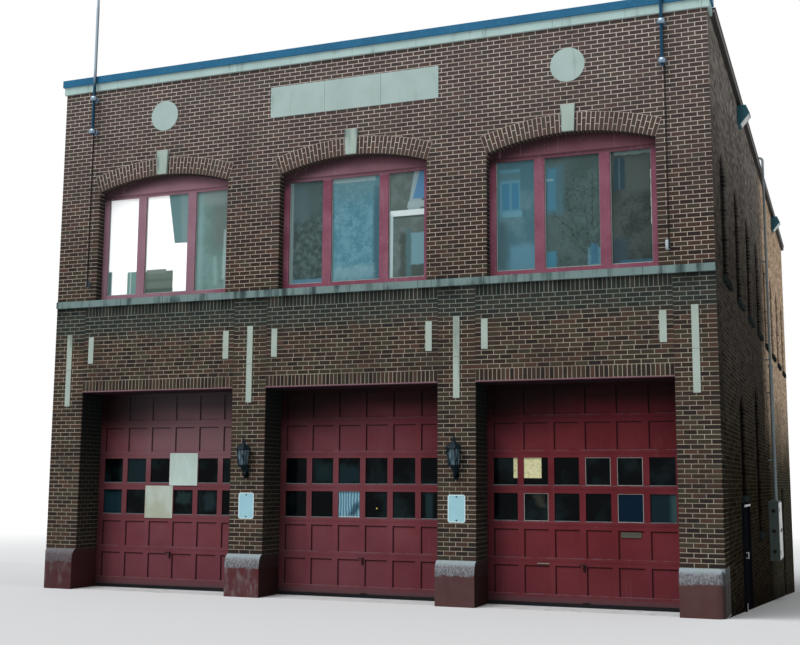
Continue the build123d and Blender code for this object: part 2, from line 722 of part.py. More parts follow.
def door_handle(bay):
    z = panel_foot + cell_height + HANDLE_RISE
    middle = Pos(bay, DOOR_SETBACK - HANDLE_REACH / 2, z)
    spindle = middle * Rot(90, 0, 0) * Cylinder(HANDLE_RADIUS, HANDLE_REACH)
    grip = Pos(bay, DOOR_SETBACK - HANDLE_REACH, z) * Rot(0, 90, 0) * Cylinder(HANDLE_RADIUS, HANDLE_LENGTH)
    return (spindle + grip).solid()


def lift_bar(bay):
    x0 = bay + LIFT_BAR_OFFSET - LIFT_BAR_LENGTH / 2
    z0 = panel_foot + cell_height + HANDLE_RISE
    y0 = DOOR_SETBACK - LIFT_BAR_PROUD
    return block(x0, x0 + LIFT_BAR_LENGTH, y0, DOOR_SETBACK, z0, z0 + LIFT_BAR_HEIGHT)


door_hardware = [mail_slot(), lift_bar(BAYS[-1])]
for bay in BAYS:
    door_hardware.append(door_handle(bay))
group("door_hardware", door_hardware)


# Wheel guards: blocks as deep as the piers, with a swept nose towards the street
def guard_profile(end):
    shoulder = guard_top - GUARD_NOSE
    outline = [
        Line((end, GROUND), (-GUARD_PROUD, GROUND)),
        Line((-GUARD_PROUD, GROUND), (-GUARD_PROUD, shoulder)),
        EllipticalCenterArc((0, shoulder), GUARD_PROUD, GUARD_NOSE, 90, arc_size=90),
        Line((0, guard_top), (end, guard_top)),
        Line((end, guard_top), (end, GROUND)),
    ]
    return make_face(outline)


def wheel_guard(x0, x1):
    # the body, and a cheek on each side that stands in a doorway
    cheek0 = x0 - GUARD_CHEEK if x0 > -HALF else x0
    cheek1 = x1 + GUARD_CHEEK if x1 < HALF else x1
    body = push(side_plane(0), guard_profile(PIER_DEPTH), x0, x1)
    body += push(side_plane(0), guard_profile(DOOR_SETBACK - DOOR_SILL_LIP), cheek0, cheek1)
    for outer, side in ((x0, 1), (x1, -1)):
        if abs(outer) == HALF:
            body = round_outer_corner(body, outer, side)
    return body.solid()


def round_outer_corner(body, outer, side):
    # the corner on the street, rounded in plan and at the top
    face = -GUARD_PROUD
    inner = outer + side * GUARD_CORNER
    back = face + GUARD_CORNER
    upright = Pos(inner, back, (GROUND + guard_top) / 2) * Cylinder(GUARD_CORNER, GUARD_HEIGHT)
    body = body - (block(outer, inner, face, back, GROUND, guard_top) - upright)
    inner = outer + side * GUARD_TOP_CORNER
    low = guard_top - GUARD_TOP_CORNER
    level = Pos(inner, face / 2, low) * Rot(90, 0, 0) * Cylinder(GUARD_TOP_CORNER, GUARD_PROUD)
    return body - (block(outer, inner, face, 0, low, guard_top) - level)


group("wheel_guards", [wheel_guard(x0, x1) for x0, x1 in pier_edges])


# Wall lanterns
def prism(x, y, foot, foot_radius, top, top_radius):
    # one stage of the six-sided lantern
    faces = []
    for height, radius in ((foot, foot_radius), (top, top_radius)):
        outline = RegularPolygon(radius, LANTERN_SIDES, major_radius=True)
        faces.append(Plane(origin=(x, y, height)) * outline)
    return loft(faces, ruled=True)


def lantern(x):
    y = -LANTERN_AXIS
    tray_foot = LANTERN_FOOT + LANTERN_TRAY_RISE
    glass_foot = tray_foot + LANTERN_TRAY
    eave = glass_foot + LANTERN_GLASS
    roof_foot = eave + LANTERN_EAVE
    foot_radius = LANTERN_GLASS_FOOT_RADIUS
    top_radius = LANTERN_GLASS_TOP_RADIUS
    tray = prism(x, y, tray_foot, LANTERN_TRAY_FOOT_RADIUS, glass_foot, LANTERN_TRAY_RADIUS)
    body = prism(x, y, glass_foot, foot_radius, eave, top_radius)
    hollow = prism(x, y, glass_foot, foot_radius - LANTERN_GLASS_WALL, eave, top_radius - LANTERN_GLASS_WALL)
    glass = body - hollow
    frame = tray + prism(x, y, eave, LANTERN_EAVE_RADIUS, roof_foot, LANTERN_EAVE_RADIUS)
    for lower, upper in zip(LANTERN_ROOF, LANTERN_ROOF[1:]):
        frame += prism(x, y, roof_foot + lower[0], lower[1], roof_foot + upper[0], upper[1])
    neck = roof_foot + LANTERN_ROOF[-1][0]
    ball_level = neck + LANTERN_BALL_RISE
    frame += Pos(x, y, ball_level) * Sphere(LANTERN_BALL)
    spike_level = ball_level + LANTERN_SPIKE_FOOT + LANTERN_SPIKE / 2
    frame += Pos(x, y, spike_level) * Cone(*LANTERN_SPIKE_RADII, LANTERN_SPIKE)
    for index in range(LANTERN_SIDES):
        angle = radians(index * 360 / LANTERN_SIDES)
        start = Vector(x + foot_radius * cos(angle), y + foot_radius * sin(angle), glass_foot)
        end = Vector(x + top_radius * cos(angle), y + top_radius * sin(angle), eave)
        rib = Plane(origin=start, z_dir=end - start) * Circle(LANTERN_RIB)
        frame += extrude(rib, (end - start).length)
    return frame - body, glass


def lantern_bracket(x):
    # a back plate, a curved arm under the tray and a curl below it
    foot = LANTERN_FOOT
    axis = -LANTERN_AXIS
    half_width = BRACKET_PLATE_WIDTH / 2
    plate_foot = foot + BRACKET_PLATE_FOOT
    plate_top = foot + BRACKET_PLATE_TOP
    plate = block(x - half_width, x + half_width, -BRACKET_PLATE, 0, plate_foot, plate_top)
    tray_foot = foot + LANTERN_TRAY_RISE
    stem_level = tray_foot - BRACKET_STEM / 2
    stem = Pos(x, axis, stem_level) * Cone(BRACKET_CURL, BRACKET_STEM_RADIUS, BRACKET_STEM)
    arm_top = tray_foot - BRACKET_STEM
    low = foot + BRACKET_LOW
    knee = foot + BRACKET_KNEE
    half_way = -BRACKET_HALF_WAY
    inner = axis + BRACKET_ARM
    cap = arm_top + BRACKET_ARM
    wall_inner = -BRACKET_PLATE - BRACKET_ARM
    outline = [
        ThreePointArc((-BRACKET_PLATE, arm_top), (half_way, low - BRACKET_ARM / 2), (axis, knee)),
        Line((axis, knee), (axis, cap)),
        Line((axis, cap), (inner, cap)),
        Line((inner, cap), (inner, knee)),
        ThreePointArc((inner, knee), (half_way, low + BRACKET_ARM / 2), (wall_inner, arm_top)),
        Line((wall_inner, arm_top), (-BRACKET_PLATE, arm_top)),
    ]
    arm = push(side_plane(x), make_face(outline), -BRACKET_ARM / 2, BRACKET_ARM / 2)
    ring = Cylinder(BRACKET_CURL, BRACKET_ARM) - Cylinder(BRACKET_CURL_BORE, BRACKET_ARM)
    curl = Pos(x, half_way, low - BRACKET_CURL_DROP) * Rot(0, 90, 0) * ring
    return plate + stem + arm + curl


lantern_frames = []
lantern_glass = []
for place in middle_piers:
    frame, glass = lantern(place)
    lantern_frames += [frame.solid(), lantern_bracket(place).solid()]
    lantern_glass.append(glass.solid())
group("lantern_frames", lantern_frames)
group("lantern_glass", lantern_glass)

plates = []
for place in middle_piers:
    outline = RectangleRounded(PLATE_WIDTH, PLATE_HEIGHT, PLATE_CORNER)
    outline = Pos(0, PLATE_FOOT + PLATE_HEIGHT / 2) * outline
    plates.append(push(front_plane(place), outline, 0, PLATE_THICKNESS).solid())
group("notice_plates", plates)


# Flagpoles, their wall clamps, halyards and cleats
def rope_line(x):
    return x + POLE_RADIUS + CLAMP_BORE_PLAY + CLAMP_WEB + ROPE_PLAY + ROPE_RADIUS


def pole_clamp(x, z):
    # a flattened ball bored for the pole, on an arm with a round wall flange
    y = -POLE_AXIS
    half = CLAMP_HEIGHT / 2
    bore = POLE_RADIUS + CLAMP_BORE_PLAY
    rim = sqrt(CLAMP_RADIUS ** 2 - half ** 2)
    sides = Polyline((rim, half), (bore, half), (bore, -half), (rim, -half))
    bulge = ThreePointArc((rim, -half), (CLAMP_RADIUS, 0), (rim, half))
    profile = Plane.XZ * make_face([*sides.edges(), *bulge.edges()])
    ball = Pos(x, y, z) * Rot(0, 0, CLAMP_SEAM) * revolve(profile, Axis.Z)
    arm_start = sqrt(CLAMP_RADIUS ** 2 - ARM_RADIUS ** 2) - ARM_SOCKET
    arm_length = POLE_AXIS - FLANGE_THICKNESS - arm_start
    arm_level = Pos(x, -FLANGE_THICKNESS - arm_length / 2, z) * Rot(90, 0, 0)
    arm = arm_level * Cylinder(ARM_RADIUS, arm_length)
    flange = Pos(x, -FLANGE_THICKNESS / 2, z) * Rot(90, 0, 0) * Cylinder(FLANGE_RADIUS, FLANGE_THICKNESS)
    rope_hole = Pos(rope_line(x), y, z) * Cylinder(ROPE_RADIUS + ROPE_PLAY, CLAMP_HEIGHT)
    return (ball + arm + flange - rope_hole).solid()


def flagpole(x):
    # two tubes, the upper one narrower
    top = POLE_FOOT + POLE_LENGTH
    swage_foot = POLE_FOOT + POLE_LOWER_LENGTH
    upper_foot = swage_foot + POLE_SWAGE
    swage = Cone(POLE_RADIUS, POLE_TIP_RADIUS, POLE_SWAGE)
    shaft = Pos(x, -POLE_AXIS, (POLE_FOOT + swage_foot) / 2) * Cylinder(POLE_RADIUS, POLE_LOWER_LENGTH)
    shaft += Pos(x, -POLE_AXIS, (swage_foot + upper_foot) / 2) * swage
    shaft += Pos(x, -POLE_AXIS, (upper_foot + top) / 2) * Cylinder(POLE_TIP_RADIUS, top - upper_foot)
    truck = Pos(x, -POLE_AXIS, top + POLE_TRUCK / 2) * Cylinder(POLE_BALL, POLE_TRUCK)
    ball = Pos(x, -POLE_AXIS, top + POLE_TRUCK + POLE_BALL_RISE) * Sphere(POLE_BALL)
    return (shaft + truck + ball).solid()


def cleat(x):
    reach = POLE_AXIS - ROPE_RADIUS - SEAT - CLEAT_RADIUS
    stem = Pos(rope_line(x), -reach / 2, CLEAT_LEVEL) * Rot(90, 0, 0) * Cylinder(CLEAT_RADIUS, reach)
    horns = Pos(rope_line(x), -reach, CLEAT_LEVEL) * Cylinder(CLEAT_RADIUS, CLEAT_LENGTH)
    return (stem + horns).solid()


def halyard(x):
    top = POLE_FOOT + POLE_LENGTH
    foot = CLEAT_LEVEL - CLEAT_LENGTH / 2
    return Pos(rope_line(x), -POLE_AXIS, (foot + top) / 2) * Cylinder(ROPE_RADIUS, top - foot)


poles = []
fittings = []
ropes = []
for side in (-1, 1):
    x = side * (HALF - POLE_INSET)
    poles.append(flagpole(x))
    fittings += [pole_clamp(x, level) for level in CLAMP_LEVELS]
    fittings.append(cleat(x))
    ropes.append(halyard(x).solid())
group("flagpoles", poles)
group("flagpole_fittings", fittings)
group("halyards", ropes)


# Side doors
def side_door(door, face):
    place, foot, width, height = door
    outer = door_opening(door)
    inner_half = width / 2 - SIDE_DOOR_FRAME
    inner = rectangle(place - inner_half, place + inner_half, foot, foot + height - SIDE_DOOR_FRAME)
    frame = push(right_plane, outer - inner, face - 2 * SIDE_DOOR_LEAF, face)
    leaf = push(right_plane, inner, face - 2 * SIDE_DOOR_LEAF, face - SIDE_DOOR_LEAF)
    return frame.solid(), leaf.solid()


service_frame, service_leaf = side_door(SERVICE_DOOR, SIDE_DOOR_PROUD)
back_frame, back_leaf = side_door(BACK_DOOR, -BACK_DOOR_SETBACK)
group("side_doors", [service_frame, service_leaf, back_frame, back_leaf])


# Floodlights on the right wall
def floodlight(y):
    top = FLOODLIGHT_TOP
    foot = top - FLOODLIGHT_HEIGHT
    front = HALF + FLOODLIGHT_PROUD
    brow = top - FLOODLIGHT_BROW
    back = HALF + FLOODLIGHT_BACK
    profile = [(HALF, top), (front - FLOODLIGHT_ROOF_SLOPE, top), (front, brow), (back, foot), (HALF, foot)]
    plane = front_plane(0, y)
    half = FLOODLIGHT_LENGTH / 2
    housing = push(plane, make_face(Polyline(*profile, close=True).edges()), -half, half)
    # the lens fills the sloping underside, inside a rim
    slope = Vector(back - front, 0, foot - brow)
    along = slope.normalized()
    inward = Vector(along.Z, 0, -along.X)
    lens_top = Vector(front, 0, brow) + along * FLOODLIGHT_RIM
    lens_foot = Vector(back, 0, foot) - along * FLOODLIGHT_RIM
    corners = [lens_top, lens_foot, lens_foot + inward * FLOODLIGHT_LENS, lens_top + inward * FLOODLIGHT_LENS]
    outline = Polyline(*[(corner.X, corner.Z) for corner in corners], close=True)
    lens_half = half - FLOODLIGHT_RIM
    lens = push(plane, make_face(outline.edges()), -lens_half, lens_half)
    return housing - lens, lens


floodlights = []
lenses = []
for place in FLOODLIGHT_PLACES:
    housing, lens = floodlight(place)
    floodlights.append(housing.solid())
    lenses.append(lens.solid())
group("floodlights", floodlights)
group("floodlight_lenses", lenses)


# Conduits and the meter cabinet on the right wall
def strap(x, y, foot, top, level):
    z = foot + level * (top - foot)
    half_width = STRAP_WIDTH / 2
    half_thickness = STRAP_THICKNESS / 2
    return block(HALF, x, y - half_thickness, y + half_thickness, z - half_width, z + half_width)


conduit_x = HALF + SIDE_EDGE_PROUD + CONDUIT_RADIUS + CONDUIT_CLEARANCE


def roof_conduit():
    # a riser that bends over the parapet
    top = WALL_TOP + SIDE_COPING_HEIGHT + CONDUIT_RISE
    start = (conduit_x, CONDUIT_PLACE, CABINET_TOP)
    over = conduit_x - CONDUIT_HOOK
    route = [
        start, (conduit_x, CONDUIT_PLACE, top),
        (over, CONDUIT_PLACE, top), (over, CONDUIT_PLACE, top - CONDUIT_DROP),
    ]
    path = FilletPolyline(*route, radius=CONDUIT_BEND)
    body = sweep(Plane(origin=start) * Circle(CONDUIT_RADIUS), path=path)
    for level in CONDUIT_STRAPS:
        body += strap(conduit_x, CONDUIT_PLACE, CABINET_TOP, WALL_TOP, level)
    return body.solid()


def service_pipe():
    place = CONDUIT_PLACE + SERVICE_PIPE_GAP
    height = SERVICE_PIPE_TOP - CABINET_TOP
    body = Pos(conduit_x, place, CABINET_TOP + height / 2) * Cylinder(SERVICE_PIPE_RADIUS, height)
    body += Pos(conduit_x, place, SERVICE_PIPE_TOP) * Sphere(SERVICE_PIPE_HOOD)
    for level in SERVICE_PIPE_STRAPS:
        body += strap(conduit_x, place, CABINET_TOP, SERVICE_PIPE_TOP, level)
    return body.solid()


group("conduits", [roof_conduit(), service_pipe()])
cabinet_end = CABINET_START + CABINET_LENGTH
cabinet_face = HALF + CABINET_DEPTH
cabinet = block(HALF, cabinet_face, CABINET_START, cabinet_end, CABINET_FOOT, CABINET_TOP)
group("meter_cabinet", [cabinet])
middle = (CABINET_FOOT + CABINET_TOP) / 2
cabinet_doors = []
lower_door = (CABINET_FOOT + CABINET_MARGIN, middle - CABINET_DOOR_GAP / 2)
upper_door = (middle + CABINET_DOOR_GAP / 2, CABINET_TOP - CABINET_MARGIN)
for z0, z1 in (lower_door, upper_door):
    y0 = CABINET_START + CABINET_MARGIN
    y1 = cabinet_end - CABINET_MARGIN
    cabinet_doors.append(block(cabinet_face, cabinet_face + CABINET_DOOR, y0, y1, z0, z1))
group("cabinet_doors", cabinet_doors)

os.makedirs("parts", exist_ok=True)
for name, shape in nodes.items():
    export_step(shape, f"parts/{name}.step")
print(len(nodes), "nodes, roof line at", cap_top)
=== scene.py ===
# %% [markdown]
# # A brick fire station, dressed for the camera
#
# The building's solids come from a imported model, which is a fixed frame: walls
# with their openings, doors, windows, stone and metal, all in metres. This
# lesson gives every one of them a finish, and adds what is too small or too
# many for a solid model: bricks, stone blocks, bolts and glazing bars. X runs
# along the front, Y into the building, and Z = 0 is the foot of the walls.

# %% Load the frame
import copy
import math
import random

import bmesh
import bpy
from mathutils import Matrix, Vector


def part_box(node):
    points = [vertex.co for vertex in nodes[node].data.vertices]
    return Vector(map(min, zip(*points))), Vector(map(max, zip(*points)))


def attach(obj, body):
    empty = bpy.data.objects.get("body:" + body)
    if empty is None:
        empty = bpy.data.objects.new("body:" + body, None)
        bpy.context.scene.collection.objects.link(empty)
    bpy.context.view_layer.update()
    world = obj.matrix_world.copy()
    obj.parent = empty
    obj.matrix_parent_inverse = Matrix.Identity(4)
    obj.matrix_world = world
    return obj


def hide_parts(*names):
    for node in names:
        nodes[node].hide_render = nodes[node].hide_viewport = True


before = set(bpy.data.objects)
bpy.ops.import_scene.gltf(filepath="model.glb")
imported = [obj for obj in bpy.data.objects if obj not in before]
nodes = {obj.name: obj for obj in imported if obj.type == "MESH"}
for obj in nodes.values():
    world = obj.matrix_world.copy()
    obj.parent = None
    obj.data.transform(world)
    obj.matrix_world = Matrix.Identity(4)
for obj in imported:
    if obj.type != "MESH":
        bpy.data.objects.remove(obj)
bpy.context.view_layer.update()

# %% [markdown]
# ## Sizes
# A dressed model should follow its solids, so the levels and widths below are
# read from the frame's own boxes. Only what no box can tell, such as the rise
# of an arch, is a number of its own.

# %% Levels and widths
left, right = (corner.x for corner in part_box("stone_band"))
band_foot, band_top = (corner.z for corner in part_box("stone_band"))
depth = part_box("rear_wall")[1].y
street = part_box("door_sills")[0].z
guard_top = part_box("wheel_guards")[1].z
door_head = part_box("wall_over_doors")[0].z
wall_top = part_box("front_coping")[0].z
roof_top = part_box("roof_deck")[1].z
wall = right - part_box("roof_deck")[1].x
pier_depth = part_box("front_foundation")[1].y
doors = [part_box(side + "_engine_door") for side in ("left", "middle", "right")]
bays = [(low.x + high.x) / 2 for low, high in doors]
bay_pitch = bays[2] - bays[1]
LEAF_GAP = 0.027
leaf_half = (doors[1][1].x - doors[1][0].x) / 2
door_half = leaf_half + LEAF_GAP
door_face = doors[1][0].y
WINDOW_HALF = 1.4315
WINDOW_SPRINGING = band_top + 2.139
WINDOW_RISE = 0.235
FRONT_RING = 0.32
SIDE_WINDOW_HALF = 0.475
SIDE_WINDOW_RISE = 0.25
SIDE_WINDOW_PITCH = 2.521
SIDE_WINDOW_START = 1.64
SIDE_RING = 0.215
SERVICE_DOOR = 3.76
SERVICE_HEAD = street + 1.68

# %% [markdown]
# ## Camera
# The picture was taken from the street, right of the middle, with the camera
# turned left and tilted up a little. A level camera would make the uprights
# parallel, and the tilt is what makes them lean together. The lens comes from
# the same fit that placed the camera, so nothing is shifted.

# %% Camera
CAMERA_PLACE = (8.097, -18.338, 3.356)
CAMERA_YAW = math.radians(21.3)
CAMERA_PITCH = math.radians(7.906)
CAMERA_ROLL = math.radians(0.338)
CAMERA_LENS = 51.81


def put_in_scene(name, data):
    made = bpy.data.objects.new(name, data)
    bpy.context.scene.collection.objects.link(made)
    return made


camera_data = bpy.data.cameras.new("camera")
camera_data.lens = CAMERA_LENS
camera_data.sensor_width = 36.0
camera_data.sensor_fit = "HORIZONTAL"
camera_data.clip_end = 500.0
camera = put_in_scene("camera", camera_data)
turn = Matrix.Rotation(CAMERA_YAW, 4, "Z") @ Matrix.Rotation(math.pi / 2 + CAMERA_PITCH, 4, "X")
turn = turn @ Matrix.Rotation(CAMERA_ROLL, 4, "Z")
camera.matrix_world = Matrix.Translation(CAMERA_PLACE) @ turn
bpy.context.scene.camera = camera

# %% [markdown]
# ## Light
# The front stands in open shade under a bright sky, so the light is mostly
# even, with more from high on the left that leaves the top of each doorway dark
# and gives the raised panels their soft shadows. The background is the world
# itself, white where the camera, a reflection or glass sees it, and weaker where
# it lights.

# %% World and lamp
WORLD_STRENGTH = 0.33
LAMP_STRENGTH = 3.0
LAMP_SOFTNESS = math.radians(45)
LAMP_TILT = math.radians(33)
LAMP_TURN = math.radians(-26)

bpy.context.scene.view_settings.view_transform = "Standard"
world = bpy.data.worlds.new("sky")
bpy.context.scene.world = world
world.use_nodes = True
sky = world.node_tree
seen = sky.nodes.new("ShaderNodeLightPath")
seen_so_far = seen.outputs["Is Camera Ray"]
for ray in ("Is Glossy Ray", "Is Transmission Ray"):
    either = sky.nodes.new("ShaderNodeMath")
    either.operation = "MAXIMUM"
    sky.links.new(seen_so_far, either.inputs[0])
    sky.links.new(seen.outputs[ray], either.inputs[1])
    seen_so_far = either.outputs[0]
strength = sky.nodes.new("ShaderNodeMapRange")
strength.inputs["To Min"].default_value = WORLD_STRENGTH
strength.inputs["To Max"].default_value = 1.0
sky.links.new(seen_so_far, strength.inputs["Value"])
backdrop = sky.nodes["Background"]
backdrop.inputs["Color"].default_value = (1.0, 1.0, 1.0, 1.0)
sky.links.new(strength.outputs["Result"], backdrop.inputs["Strength"])

lamp_data = bpy.data.lights.new("soft_lamp", "SUN")
lamp_data.energy = LAMP_STRENGTH
lamp_data.angle = LAMP_SOFTNESS
put_in_scene("soft_lamp", lamp_data).rotation_euler = (LAMP_TILT, 0, LAMP_TURN)

# %% [markdown]
# ## Writing materials as expressions
# A finish is easier to read as arithmetic than as a web of nodes. `Value`
# wraps one socket, and its operators add Math nodes. `Finish` starts a
# material, its `node` method makes any other node from its settings and
# inputs, and `layers` lays colours over each other by their shares.


# %% Shader helpers
def math_node(operation, swapped=False):
    """A method that adds one Math node, with its two operands swapped if asked."""

    def method(self, other=0.0):
        operands = (other, self) if swapped else (self, other)
        return self.finish.node("Math", {"operation": operation}, *operands)

    return method


class Value:
    """A number or colour that changes over a surface."""

    def __init__(self, finish, socket):
        self.finish = finish
        self.socket = socket

    __add__ = __radd__ = math_node("ADD")
    __mul__ = __rmul__ = math_node("MULTIPLY")
    __sub__ = math_node("SUBTRACT")
    __rsub__ = math_node("SUBTRACT", True)
    __truediv__ = math_node("DIVIDE")
    larger = math_node("MAXIMUM")
    smaller = math_node("MINIMUM")
    fraction = math_node("FRACT")
    size = math_node("ABSOLUTE")
    root = math_node("SQRT")
    wave = math_node("SINE")

    def ramp(self, low, high):
        """0 below low, 1 above high and a smooth rise between them."""
        settings = {"interpolation_type": "SMOOTHSTEP"}
        return self.finish.node("MapRange", settings, Value=self, From_Min=low, From_Max=high)

    def fall(self, low, high):
        """1 below low, 0 above high and a smooth fall between them."""
        return self.ramp(high, low)

    def within(self, low, high, soft=0.004):
        """1 between two values and 0 outside them."""
        half = (high - low) / 2
        return (self - (low + high) / 2).size().fall(half - soft, half + soft)


DULL = 0.10


class Finish:
    """A material written as a recipe. Its x, y and z are the point's place."""

    def __init__(self, name):
        self.material = bpy.data.materials.new(name)
        self.material.use_nodes = True
        self.tree = self.material.node_tree
        self.shader = self.tree.nodes["Principled BSDF"]
        self.x, self.y, self.z = self.parts(self.place())

    def feed(self, socket, value):
        if isinstance(value, Value):
            self.tree.links.new(value.socket, socket)
        elif isinstance(value, tuple) and len(value) == 3 and socket.type == "RGBA":
            socket.default_value = (*value, 1.0)
        else:
            socket.default_value = value

    def node(self, kind, settings=None, *inputs, out=0, **named):
        made = self.tree.nodes.new("ShaderNode" + kind)
        for key, setting in (settings or {}).items():
            setattr(made, key, setting)
        for socket, value in zip(made.inputs, inputs):
            self.feed(socket, value)
        for name, value in named.items():
            self.feed(made.inputs[name.replace("_", " ")], value)
        return Value(self, made.outputs[out])

    def place(self, scale=(1.0, 1.0, 1.0)):
        """The point on the surface, in metres, stretched by scale."""
        point = self.node("TexCoord", out=3)
        return self.node("Mapping", {"vector_type": "POINT"}, Vector=point, Scale=scale)

    def parts(self, vector):
        """A vector's three numbers."""
        split = self.node("SeparateXYZ", {}, vector).socket.node
        return [Value(self, socket) for socket in split.outputs]

    def facing(self):
        """How far the surface faces along X, Y and Z."""
        return self.parts(self.node("NewGeometry", out=1))

    def noise(self, scale, detail=2.0, stretch=(1.0, 1.0, 1.0), roughness=0.5):
        where = self.place(stretch)
        return self.node("TexNoise", {}, Vector=where, Scale=scale, Detail=detail, Roughness=roughness)

    def streaks(self, scale, detail=2.0, long=0.06):
        """Noise drawn out downwards, as water draws dirt."""
        return self.noise(scale, detail, (1.0, 1.0, long))

    def mix(self, share, first, second):
        made = self.tree.nodes.new("ShaderNodeMix")
        made.data_type = "RGBA"
        self.feed(made.inputs[0], share)
        self.feed(made.inputs[6], first)
        self.feed(made.inputs[7], second)
        return Value(self, made.outputs[2])

    def layers(self, colour, *layers):
        """Mixes each layer's colour over what is there, by its share."""
        for share, over in layers:
            colour = self.mix(share, colour, over)
        return colour

    def ramp(self, share, stops):
        """A colour ramp through stops of place and colour."""
        made = self.tree.nodes.new("ShaderNodeValToRGB")
        first, last = made.color_ramp.elements
        first.position, first.color = stops[0][0], (*stops[0][1], 1.0)
        last.position, last.color = stops[-1][0], (*stops[-1][1], 1.0)
        for place, colour in stops[1:-1]:
            made.color_ramp.elements.new(place).color = (*colour, 1.0)
        self.feed(made.inputs[0], share)
        return Value(self, made.outputs[0])

    def attribute(self, name):
        return self.node("Attribute", {"attribute_name": name}, out=2)

    def surface(self, colour, roughness=0.7, relief=None, lift=0.002, strength=0.6, **plain):
        """Feeds the shader. Relief is a height, and lift what 1 of it is in metres."""
        self.feed(self.shader.inputs["Base Color"], colour)
        self.feed(self.shader.inputs["Specular IOR Level"], DULL)
        self.feed(self.shader.inputs["Roughness"], roughness)
        if relief is not None:
            bump = self.node("Bump", {}, Height=relief, Distance=lift, Strength=strength)
            self.feed(self.shader.inputs["Normal"], bump)
        for name, value in plain.items():
            self.feed(self.shader.inputs[name.replace("_", " ")], value)
        return self.material


def dress(material, *names):
    """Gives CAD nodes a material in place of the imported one."""
    for name in names:
        for slot in nodes[name].material_slots:
            slot.material = material


def in_bay(x):
    """How far a point lies from the middle of its bay."""
    return (((x - bays[1]) / bay_pitch + 0.5).fraction() - 0.5) * bay_pitch


# %% [markdown]
# ## Brick and mortar
# The bricks are dark brown, with purple, red and greenish ones among them, and
# the mortar is a pale tan. Each brick carries one random number in an
# attribute, `tone`, so its whole face is one fired colour, and noise adds the
# mottling and the grit. The faces inside the openings, which lie behind the
# wall's face, are painted in shade that grows darker towards the heads of the
# doors, and the wall under the stone band is painted darker in streaks.

# %% Painted shade, dark streaks and damp on the front
SOOT = (0.008, 0.006, 0.0055)
DARK_UNDER_BAND = 0.34
DAMP_REACH = 0.75
REVEAL_START = 0.012
REVEAL_SOFT = 0.03


def reveal_shade_and_band_streaks(finish, reveal_share, band_share):
    """How dark a point of the front is painted: painted shade on the faces inside the openings, and dark
    streaks under the band.
    """
    z = finish.z
    upward = z.ramp(guard_top, door_head) * (1.0 - reveal_share) + reveal_share
    upward = upward * z.fall(band_foot, band_top) + z.ramp(band_foot, band_top) * 0.5
    # painted shade on the faces behind the wall's face, darker towards the door heads
    behind = finish.y.ramp(REVEAL_START, REVEAL_START + REVEAL_SOFT) * upward
    under = z.ramp(band_foot - DARK_UNDER_BAND, band_foot) * z.fall(band_foot, band_foot + 0.01)
    return behind.larger(under * finish.streaks(3.0, 3.0, 0.3).ramp(0.3, 0.65) * band_share)


def damp(finish):
    """How far the water of the band has greyed the wall under it."""
    height = finish.z + (finish.noise(1.5, 3.0) - 0.5) * 0.3
    under = finish.z.fall(band_foot, band_foot + 0.01)
    return height.ramp(band_foot - DAMP_REACH, band_foot - DAMP_REACH / 2) * under


# %% Front brick
def front_brick_finish():
    finish = Finish("front_brick")
    tone = finish.attribute("tone")
    fired = finish.ramp(tone + (finish.noise(9.0, 3.0) - 0.5) * 0.22, [
        (0.0, (0.021, 0.016, 0.016)),
        (0.3, (0.032, 0.022, 0.019)),
        (0.6, (0.042, 0.028, 0.022)),
        (0.85, (0.053, 0.032, 0.025)),
        (1.0, (0.072, 0.039, 0.030)),
    ])
    grit = finish.noise(170.0, 2.0)
    colour = finish.layers(
        fired,
        ((tone * 17.0).fraction().ramp(0.72, 0.76) * 0.6, (0.048, 0.045, 0.031)),
        (finish.z.ramp(band_foot, wall_top) * 0.36, (0.125, 0.104, 0.102)),
        (grit.ramp(0.60, 0.75) * 0.22, (0.24, 0.20, 0.17)),
        (finish.noise(1.1, 4.0).ramp(0.5, 0.8) * 0.4, (0.020, 0.018, 0.018)),
        (damp(finish) * 0.55, (0.020, 0.033, 0.031)),
        # painted shade inside the openings, and dark streaks under the band
        (reveal_shade_and_band_streaks(finish, 0.55, 0.80), (0.008, 0.010, 0.009)),
    )
    return finish.surface(colour, 0.86, grit, 0.0015, 0.5, Specular_IOR_Level=0.05)


# %% Front mortar
def front_mortar_finish():
    finish = Finish("front_mortar")
    height = finish.z.ramp(band_foot - 0.6, band_foot + 1.2)
    summit = finish.z.ramp(band_top + 1.0, wall_top) * 0.6
    clean = finish.layers((0.38, 0.345, 0.265), (height, (0.53, 0.445, 0.375)), (summit, (0.86, 0.77, 0.71)))
    dirty = finish.layers((0.23, 0.210, 0.160), (height, (0.36, 0.305, 0.260)), (summit, (0.64, 0.565, 0.52)))
    colour = finish.layers(
        clean,
        (finish.noise(1.6, 4.0).ramp(0.36, 0.70), dirty),
        (finish.noise(26.0, 2.0).ramp(0.58, 0.72) * 0.4, (0.16, 0.13, 0.10)),
        (damp(finish) * 0.65, (0.165, 0.235, 0.215)),
        # painted shade inside the openings, and dark streaks under the band
        (reveal_shade_and_band_streaks(finish, 0.62, 0.76), (0.018, 0.026, 0.024)),
    )
    return finish.surface(colour, 0.92, finish.noise(110.0, 3.0), 0.002, 0.5, Specular_IOR_Level=0.05)


